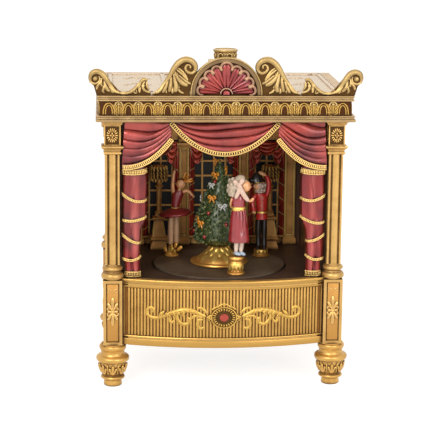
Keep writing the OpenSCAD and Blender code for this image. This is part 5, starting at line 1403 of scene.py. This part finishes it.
warm_gold = gilding("warm_gold", ink(236, 178, 92), ink(206, 138, 52), ink(96, 52, 18), 0.7, 0.28)
disc_top = 82.7
foot_parts = [turned([
    (0, disc_top), (20.6, disc_top), (21.8, 83.2), (22, 84.1), (21.6, 84.9), (20.4, 85.2), (18.8, 84.9),
    (17.8, 85.2), (16.8, 86.8), (14.6, 88.8), (11.6, 90.6), (9.4, 92.8), (7.6, 95), (5.4, 97),
    (5, 98.1), (0, 98.1)])]
for out, z, lean, more in ((17.4, 85.4, 0.95, 0), (13, 88.6, 0.85, 0.3), (9.4, 91.6, 0.6, 0.6)):
    foot_parts.append(repeated(bud(7.4, 4.4, 2.2), [
        turn_z(turn + more) @ shift(-out, 0, z) @ tilt(lean) @ turn_z(math.pi / 2)
        for turn in ring_turns(10)]))
stand = settle(hub(joined(foot_parts)), "tree_foot", warm_gold, "turntable")
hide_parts("tree_stand")


# The three figures
# Small painted dolls with plain faces, on gilt bases: a dancer with one arm up and gold
# feathers in the hair, a girl in a crimson dress with a pale ribbon, and a soldier in a red
# coat and a low cocked hat. Each is made on its own axis, and all turn with the disc.

def form(rings, sides=20, steps=3):
    """A body through (x, y, z, half width, half depth) rings, bottom first."""
    return skin([[(x + rx * math.cos(a), y + ry * math.sin(a), z) for a in ring_turns(sides)]
                 for x, y, z, rx, ry in eased(rings, steps)], ring=True)


def ball(x, y, z, r, tall=1.0):
    """A round form of radius r, stretched to tall times its height."""
    high, cap = r * tall, r * 0.72
    return form([(x, y, z - high, 0.05, 0.05), (x, y, z - high * 0.7, cap, cap), (x, y, z, r, r),
                 (x, y, z + high * 0.7, cap, cap), (x, y, z + high, 0.05, 0.05)], 16)


def limb(*points):
    """An arm, leg or shoe along (x, y, z, half width) points."""
    return strand(points, 4)


def leaf_ring(leaf, x, z, radius, count):
    """A ring of upright leaves round a base whose axis is at x."""
    return repeated(leaf, [shift(x, 0, z) @ turn_z(turn) @ shift(0, -radius, 0)
                           for turn in ring_turns(count)])


def doll_paint(name, colour, rough=0.45, coat=0.3):
    """A plain paint, rubbed darker in patches, and darker in the hollows as painted shade."""
    paint = Finish(name)
    # Darker in random patches, and painted shade in the hollows.
    wear_and_painted_light = ((paint.noise(300, 3) - 0.45) * 2.2 + (0.9 - paint.cover(0.002)) * 1.5).kept()
    return paint.put(Base_Color=paint.blend(wear_and_painted_light, colour, tuple(c * 0.42 for c in colour)),
                     Roughness=rough, Coat_Weight=coat)


flesh = doll_paint("doll_flesh", ink(250, 180, 124))
ribbon_white = doll_paint("ribbon_white", ink(226, 190, 168), 0.5, 0)
pale_hair = doll_paint("pale_hair", ink(206, 184, 158), 0.6, 0)
maroon = doll_paint("maroon_satin", ink(138, 40, 40), 0.35)
dusky = doll_paint("dusky_skirt", ink(206, 160, 120), 0.5)
dress_red = doll_paint("dress_red", ink(160, 44, 48), 0.22, 0.8)
coat_red = doll_paint("coat_red", ink(214, 50, 42), 0.3, 0.6)
boot_black = doll_paint("boot_black", ink(38, 32, 30), 0.3)
pale_blue = doll_paint("pale_blue", ink(176, 190, 206), 0.4)
white_sock = doll_paint("white_sock", ink(234, 208, 188), 0.5, 0)
hair_brown = doll_paint("hair_brown", ink(112, 66, 36), 0.5)
eye_dark = doll_paint("eye_dark", ink(40, 26, 22), 0.3)
doll_gold = gilding("doll_gold", ink(255, 190, 92), ink(226, 146, 50), ink(120, 62, 20), 0.5, 0.3)


def face_marks(x, y, z, r, turn):
    """Two eyes and a mouth on a head that looks along turn, 0 being to the front."""
    def mark(side, up, wide, tall):
        return put_at(bud(tall, wide, 0.5),
                      shift(x, y, z) @ turn_z(turn + side) @ shift(0, -r * 0.96, up - tall / 2))
    return joined([mark(-0.36, 0.7, 0.7, 0.9), mark(0.36, 0.7, 0.7, 0.9), mark(0, -1.5, 1.2, 0.45)])


def nose(x, y, z, r, turn):
    """The nose of that head."""
    return put_at(bud(1.1, 0.8, 1.1), shift(x, y, z) @ turn_z(turn) @ shift(0, -r * 0.98, -0.8))


def dress_up(figure, x, y, parts):
    """Sets a figure's parts down at (x, y), each with its paint; the first stands for the CAD figure."""
    for number, (word, finish, pieces) in enumerate(parts):
        made = put_at(joined(pieces), (x, y, 0))
        made = settle(made, figure + "_" + word, finish, "turntable")
        if not number:
            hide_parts(figure)


head, gaze = (5, -0.4, 140), 0.35
plumes = [shift(5.8, 0, 140.4) @ turn_z(turn) @ tilt(lean) for turn, lean in (
    (0.2, 0.35), (-0.3, 0.62), (0.4, 0.86), (-0.2, 1.12), (0.1, 1.4), (0.9, 0.7), (-0.9, 0.9))]
foot_petals = [shift(x, y, z) @ turn_z(turn) @ tilt(lean) for x, y, z, turn, lean in (
    (-3.8, -0.6, 84, 0.2, 0.3), (-3.4, -2, 84.6, -0.9, 0.5), (-2.6, -2.4, 86.4, -1.4, 0.3),
    (-2.4, 1.6, 86, 0.9, 0.4), (-1, -2, 87.6, -0.6, 0.5), (0, -1, 88.8, 0, 0.4), (0.4, 1, 89, 0.7, 0.5),
    (-4.4, 0.8, 83.6, 2.6, 0.7), (-1.6, -2.8, 84.4, -1.2, 0.9), (1, -1.8, 86.6, -0.4, 0.9))]
skirt_lean = -0.09
dress_up("ballerina", -33.4, 14.7, [
    ("bodice", maroon, [
        form([(0.4, 0, 119.4, 2.9, 2.5), (1, 0, 123, 3.2, 2.6), (1.8, 0, 128, 4.2, 3),
              (2.6, 0, 132, 4.5, 2.9), (3.2, 0, 134.6, 3.4, 2)]),
        put_at(form([(0, 0, -2.2, 11.8, 10.6), (0, 0, -1.4, 12.8, 11.4), (0, 0, 0, 12.2, 10.8),
                     (0, 0, 1.8, 7.8, 6.8), (0, 0, 3.4, 3.2, 2.8)], 36),
               shift(0.6, 0, 117.6) @ tilt(skirt_lean)),
        repeated(bud(10.4, 3.6, 1.1), [
            shift(0.6, 0, 119.2) @ tilt(skirt_lean) @ turn_z(turn) @ tilt(-1.84) @ turn_z(math.pi / 2)
            for turn in ring_turns(18)])]),
    ("legs", dusky, [
        limb((-2.6, 0, 92.4, 2.2), (-2.7, 0, 98, 2.4), (-2.5, 0, 108, 2.5), (-2, 0, 116, 2.6)),
        limb((1.8, -0.4, 94, 2.2), (1.7, -0.2, 100, 2.4), (1.6, 0, 108, 2.5), (1.6, 0, 116, 2.6))]),
    ("flesh", flesh, [
        ball(*head, 3.6, 1.1), nose(*head, 3.6, gaze),
        limb((3.4, 0, 133.6, 1.5), (4.2, 0, 137, 1.3)),
        limb((-0.6, 0, 133.2, 1.4), (-1.6, -0.8, 137.6, 1.4), (-1.2, -1, 144, 1.2), (-0.2, -1, 150.2, 1)),
        limb((6.4, 0, 133.6, 1.4), (10.2, -0.8, 134.4, 1.3), (13, -1, 132, 1.1), (15, -1, 129.8, 0.9))]),
    ("hair", hair_brown, [
        form([(5.5, 0.6, 137.8, 2.9, 2.6), (5.5, 0.7, 140.4, 3.7, 3.3), (5.4, 0.4, 143.2, 2.9, 2.8),
              (5.2, 0, 144.4, 0.6, 0.6)])]),
    ("face", eye_dark, [face_marks(*head, 3.6, gaze)]),
    ("plumes", amber, [repeated(bud(9.4, 1.9, 1), plumes)]),
    ("gilding", doll_gold, [
        turned([(0, disc_top), (5.4, disc_top), (5.6, 83.4), (4.8, 84), (3.4, 85.6), (2.6, 88), (2.4, 91),
                (0, 92)], (-2, 0, 0), 32),
        repeated(bud(7, 3.4, 1.8), foot_petals),
        strand([(-2.4, -2, 121.4, 0.4), (0.6, -2.8, 121, 0.45), (3.4, -1.8, 121.4, 0.4)], 3)])])

head, gaze = (4.7, -0.4, 149.6), 1.35
curls = [shift(x - 6.2, y, z) @ turn_z(turn) for x, y, z, turn in (
    (0, 0, 141.6, 0), (1.8, -2.2, 141.4, 0.6), (2.2, 2.4, 141.8, 2), (-1.6, 0.8, 144.4, 1),
    (0.6, -3, 144.6, 0.3), (2.6, -3.8, 145, 1.4), (-1.4, -0.6, 148, 0.8), (0, 3.4, 145.4, 2.4),
    (0.8, -3.2, 149.2, 0.2), (3, -4, 149.6, 1), (-0.4, 1.8, 151.6, 1.6), (1.6, -2.2, 153, 0.5),
    (4.4, -3.2, 152.8, 0), (4.6, -3.6, 146.6, 0.9), (5.4, -3, 143.6, 0.2), (3.8, 3.2, 152, 2.2),
    (3.4, 4, 147, 2.6))]
dress_up("party_doll", 11.6, -46.9, [
    ("dress", dress_red, [
        form([(0.6, 0, 107.8, 7.4, 7), (0.6, 0, 108.4, 8, 7.6), (0.5, 0, 113, 7.6, 7.2),
              (0.3, 0, 120, 6.8, 6.2), (0, 0, 127, 5.8, 5.2), (0, 0, 131.4, 5, 4.4),
              (0, 0, 134.6, 4.9, 4.2), (0, 0, 140, 5, 4), (0.6, 0, 143.6, 4, 3),
              (1, 0, 145, 1.8, 1.6)], 32),
        repeated(bud(24, 2.8, 1.4), [
            shift(0.6, 0, 109.4) @ turn_z(turn + 0.2) @ shift(0, -6.9, 0) @ Matrix.Rotation(-0.1, 4, "X")
            for turn in ring_turns(11)]),
        ball(5, -0.6, 141.2, 2, 1.1), ball(-4, 0.4, 141.2, 2, 1.1)]),
    ("flesh", flesh, [
        ball(*head, 4.3, 1.08), nose(*head, 4.3, gaze),
        limb((1.6, 0, 144.2, 1.5), (2.8, 0, 147, 1.4)),
        limb((5.4, -1, 140.4, 1.2), (8.6, -1.6, 138.6, 1.1), (10.6, -2, 140.4, 1)),
        limb((-4.8, -0.4, 140.2, 1.1), (-5.6, 1.6, 136, 1), (-4.8, 3.6, 132.6, 0.95))]),
    ("hair", pale_hair, [
        form([(-3.6, 0.4, 142.4, 4, 3.8), (-3.4, 0.4, 147, 5, 4.8), (-2, 0.4, 152, 5.2, 4.8),
              (0.4, 0.2, 155, 4.4, 4.2), (1.4, 0, 157.4, 2.4, 2.4), (1.6, 0, 158, 0.6, 0.6)]),
        form([(3.4, 0.6, 147, 2.4, 3.2), (3.8, 0.6, 151, 3.4, 3.8), (3.4, 0.4, 154.4, 2.4, 3)]),
        repeated(bud(3.8, 3, 2.6), curls)]),
    ("ribbon", ribbon_white, [
        put_at(bud(6.6, 3.8, 1.6, 0.5), (-0.2, -5, 150.4)),
        put_at(bud(6.4, 3.6, 1.6, -0.7), (-0.2, -5, 150.2)),
        strand([(-0.4, -5.2, 152, 1.5), (0.2, -5.6, 148.6, 1.7), (-1, -5.4, 145, 1.6),
                (-2.4, -5, 141.8, 1.3)], 3, 0.5),
        strand([(0, -5.4, 151, 1.5), (1.6, -5.6, 147, 1.8), (4, -5.2, 143, 1.8),
                (6.4, -4.8, 139.8, 1.4)], 3, 0.5)]),
    ("face", eye_dark, [face_marks(*head, 4.3, gaze)]),
    ("stockings", white_sock, [
        limb((-1.2, 0, 108.6, 2), (-1.2, 0, 104, 1.9), (-1.4, 0, 100, 1.4)),
        limb((2.6, 0, 108.6, 2), (2.4, 0, 104, 1.9), (2.2, 0, 100, 1.4))]),
    ("shoes", pale_blue, [
        limb((-2, 0.8, 98.8, 1.5), (-0.6, -0.6, 98.4, 1.7), (1.2, -1.6, 97.8, 1.2)),
        limb((1.6, 0.8, 98.8, 1.5), (3, -0.4, 98.4, 1.7), (4.8, -1, 97.8, 1.2))]),
    ("gilding", warm_gold, [
        form([(0, 0, 131.2, 5, 4.4), (0, 0, 131.8, 5.4, 4.8), (0, 0, 133.8, 5.3, 4.7),
              (0, 0, 134.4, 4.9, 4.2)]),
        turned([(0, disc_top), (6.2, disc_top), (6.6, 83.4), (6.4, 84.4), (5.2, 85), (5, 86.6),
                (5.8, 87.6), (6, 90.6), (5.4, 92), (5, 93), (5.9, 94), (6.1, 95.4), (5.6, 96.4),
                (0, 96.6)], (-1.4, 0, 0), 48),
        leaf_ring(bud(6.4, 2.4, 1.5), -1.4, 85.4, 5.3, 12)])])

head, gaze = (-3.4, 0, 138.4), -0.9
dress_up("toy_soldier", 34.7, 11.8, [
    ("coat", coat_red, [
        form([(0, 0, 112.4, 4.6, 3.8), (0, 0, 116, 4.5, 3.6), (0, 0, 119, 4.1, 3.2),
              (-0.2, 0, 125, 4.7, 3.4), (-0.4, 0, 130, 4.9, 3.3), (-1.4, 0, 133, 3.6, 2.5)]),
        limb((3.4, 0, 130.8, 2), (5, -0.8, 136.6, 1.9), (4.8, -1, 143, 1.8), (3, -1.2, 146.6, 1.6)),
        limb((-5, 0, 131, 1.9), (-7.4, -0.8, 126.4, 1.8), (-7, -2.4, 121.8, 1.6)),
        turned([(0, -1.3), (2.3, -1.3), (2.5, 0), (2.3, 1.3), (0, 1.3)], (-6.8, -2.6, 121), 20)]),
    ("black", boot_black, [
        form([(-3.8, 0, 141.2, 4.6, 4), (-3.8, 0, 142, 5.2, 4.4), (-4, 0, 145.4, 4.4, 3.4),
              (-4, 0, 148, 3.2, 2.2), (-4, 0, 149.4, 0.8, 0.8)], 24),
        put_at(bud(14, 7.4, 5.2), shift(2.6, 0, 142.6) @ tilt(-1.5) @ turn_z(math.pi / 2)),
        limb((-2.4, 0, 115, 2.3), (-2.6, 0, 106, 2.2), (-2.4, 0, 97, 2), (-2.4, -0.6, 90.8, 2.1)),
        limb((2, 0, 115, 2.3), (2.2, 0, 106, 2.2), (2.2, 0, 97, 2), (2.2, -0.6, 90.8, 2.1)),
        limb((-2.4, 0, 90, 1.6), (-3.2, -2.6, 89.6, 1.5)),
        limb((2.2, 0, 90, 1.6), (2, -2.6, 89.6, 1.5))]),
    ("flesh", flesh, [
        ball(*head, 3.5, 1.1), nose(*head, 3.5, gaze),
        put_at(bud(8, 3.4, 2.4), shift(4.2, -1.2, 146.6) @ tilt(-1.16)),
        ball(-6.4, -3.2, 118.4, 1.7), limb((-2.6, 0, 132.4, 1.7), (-2.8, 0, 135.6, 1.5))]),
    ("hair", white_sock, [
        form([(-1.6, 0.6, 133.4, 3.4, 3.2), (-1.5, 0.6, 136, 4.4, 3.9), (-1.8, 0.6, 140, 4.5, 3.9),
              (-2.2, 0.4, 142.4, 3.6, 3.4)]),
        repeated(bud(3.2, 2.6, 2.2), [shift(*place) for place in (
            (-3, -3, 134), (-0.8, -3.6, 134.2), (1.4, -2.6, 134), (0, -3.6, 137.4), (2, -2, 137.6))])]),
    ("face", eye_dark, [face_marks(*head, 3.5, gaze)]),
    ("gilding", warm_gold, [
        form([(0, 0, 117.4, 4.7, 3.8), (0, 0, 118.8, 4.6, 3.7)], steps=1),
        strand([(-8, -2.2, 142, 0.35), (-3.8, -4.5, 141.8, 0.4), (0.6, -2.4, 142, 0.35)], 4),
        leaf_ring(bud(4.6, 2.8, 1.4), -0.3, 84.2, 4.9, 9),
        turned([(0, disc_top), (6.4, disc_top), (6.7, 83.6), (5.6, 84.6), (4.8, 86), (5.4, 87.6),
                (5.2, 88.6), (0, 88.8)], (-0.3, 0, 0), 32)]
     + [ball(-0.4, -3.3, z, 0.6) for z in (121, 124, 127, 130)])])


# Side reliefs, underside and movement
# Gilt arched panels with a flower outside the side walls, and under the base a brown board
# held by steel screws, with the winding key through it and the metal movement above it.

for _, word in left_and_right:
    lay_finish("side_relief_" + word, antique_gold)


def streaks(finish, stretch, scale, detail):
    """A value drawn out in fine lines along the X axis."""
    drawn = finish.node("Mapping", {"Vector": finish.place, "Scale": stretch})
    return finish.node("TexNoise", {"Vector": drawn, "Scale": scale, "Detail": detail})


board = Finish("fibre_board")
fibre = streaks(board, (40, 400, 400), 2.0, 4.0)
board.put(Base_Color=board.blend(fibre, ink(122, 88, 58), ink(92, 62, 38)), Roughness=0.75,
          Normal=board.relief(fibre, 0.0001))
lay_finish("bottom_board", board.material)


def metal(name, colour, rough, scratch=0.12):
    """Brushed bare metal, a little dull in patches."""
    made = Finish(name)
    lines = streaks(made, (60, 900, 900), 1.0, 3.0)
    dull = ((made.noise(150, 3) - 0.4) * 1.6).kept()
    return made.put(Base_Color=made.blend(dull, colour, tuple(c * 0.7 for c in colour)), Metallic=1.0,
                    Roughness=lines * scratch + dull * 0.12 + rough, Normal=made.relief(lines, 0.00003))


steel = metal("bright_steel", ink(198, 200, 204), 0.2)
blue_steel = metal("blued_steel", ink(92, 104, 128), 0.25)
zinc = metal("zinc_casting", ink(158, 160, 162), 0.42, 0.2)
brass = metal("turned_brass", ink(214, 172, 92), 0.22)
for finish, nodes in (
        (steel, ("board_screws", "movement_screws", "comb_screws", "spindle", "winding_arbor",
                 "cylinder_arbor", "stop_rod", "comb")),
        (blue_steel, ("mainspring",)), (zinc, ("movement_frame",)),
        (brass, ("spring_drum", "crown_wheel", "spindle_bush", "music_cylinder", "idler", "governor",
                 "winding_key"))):
    for node in nodes:
        lay_finish(node, finish)
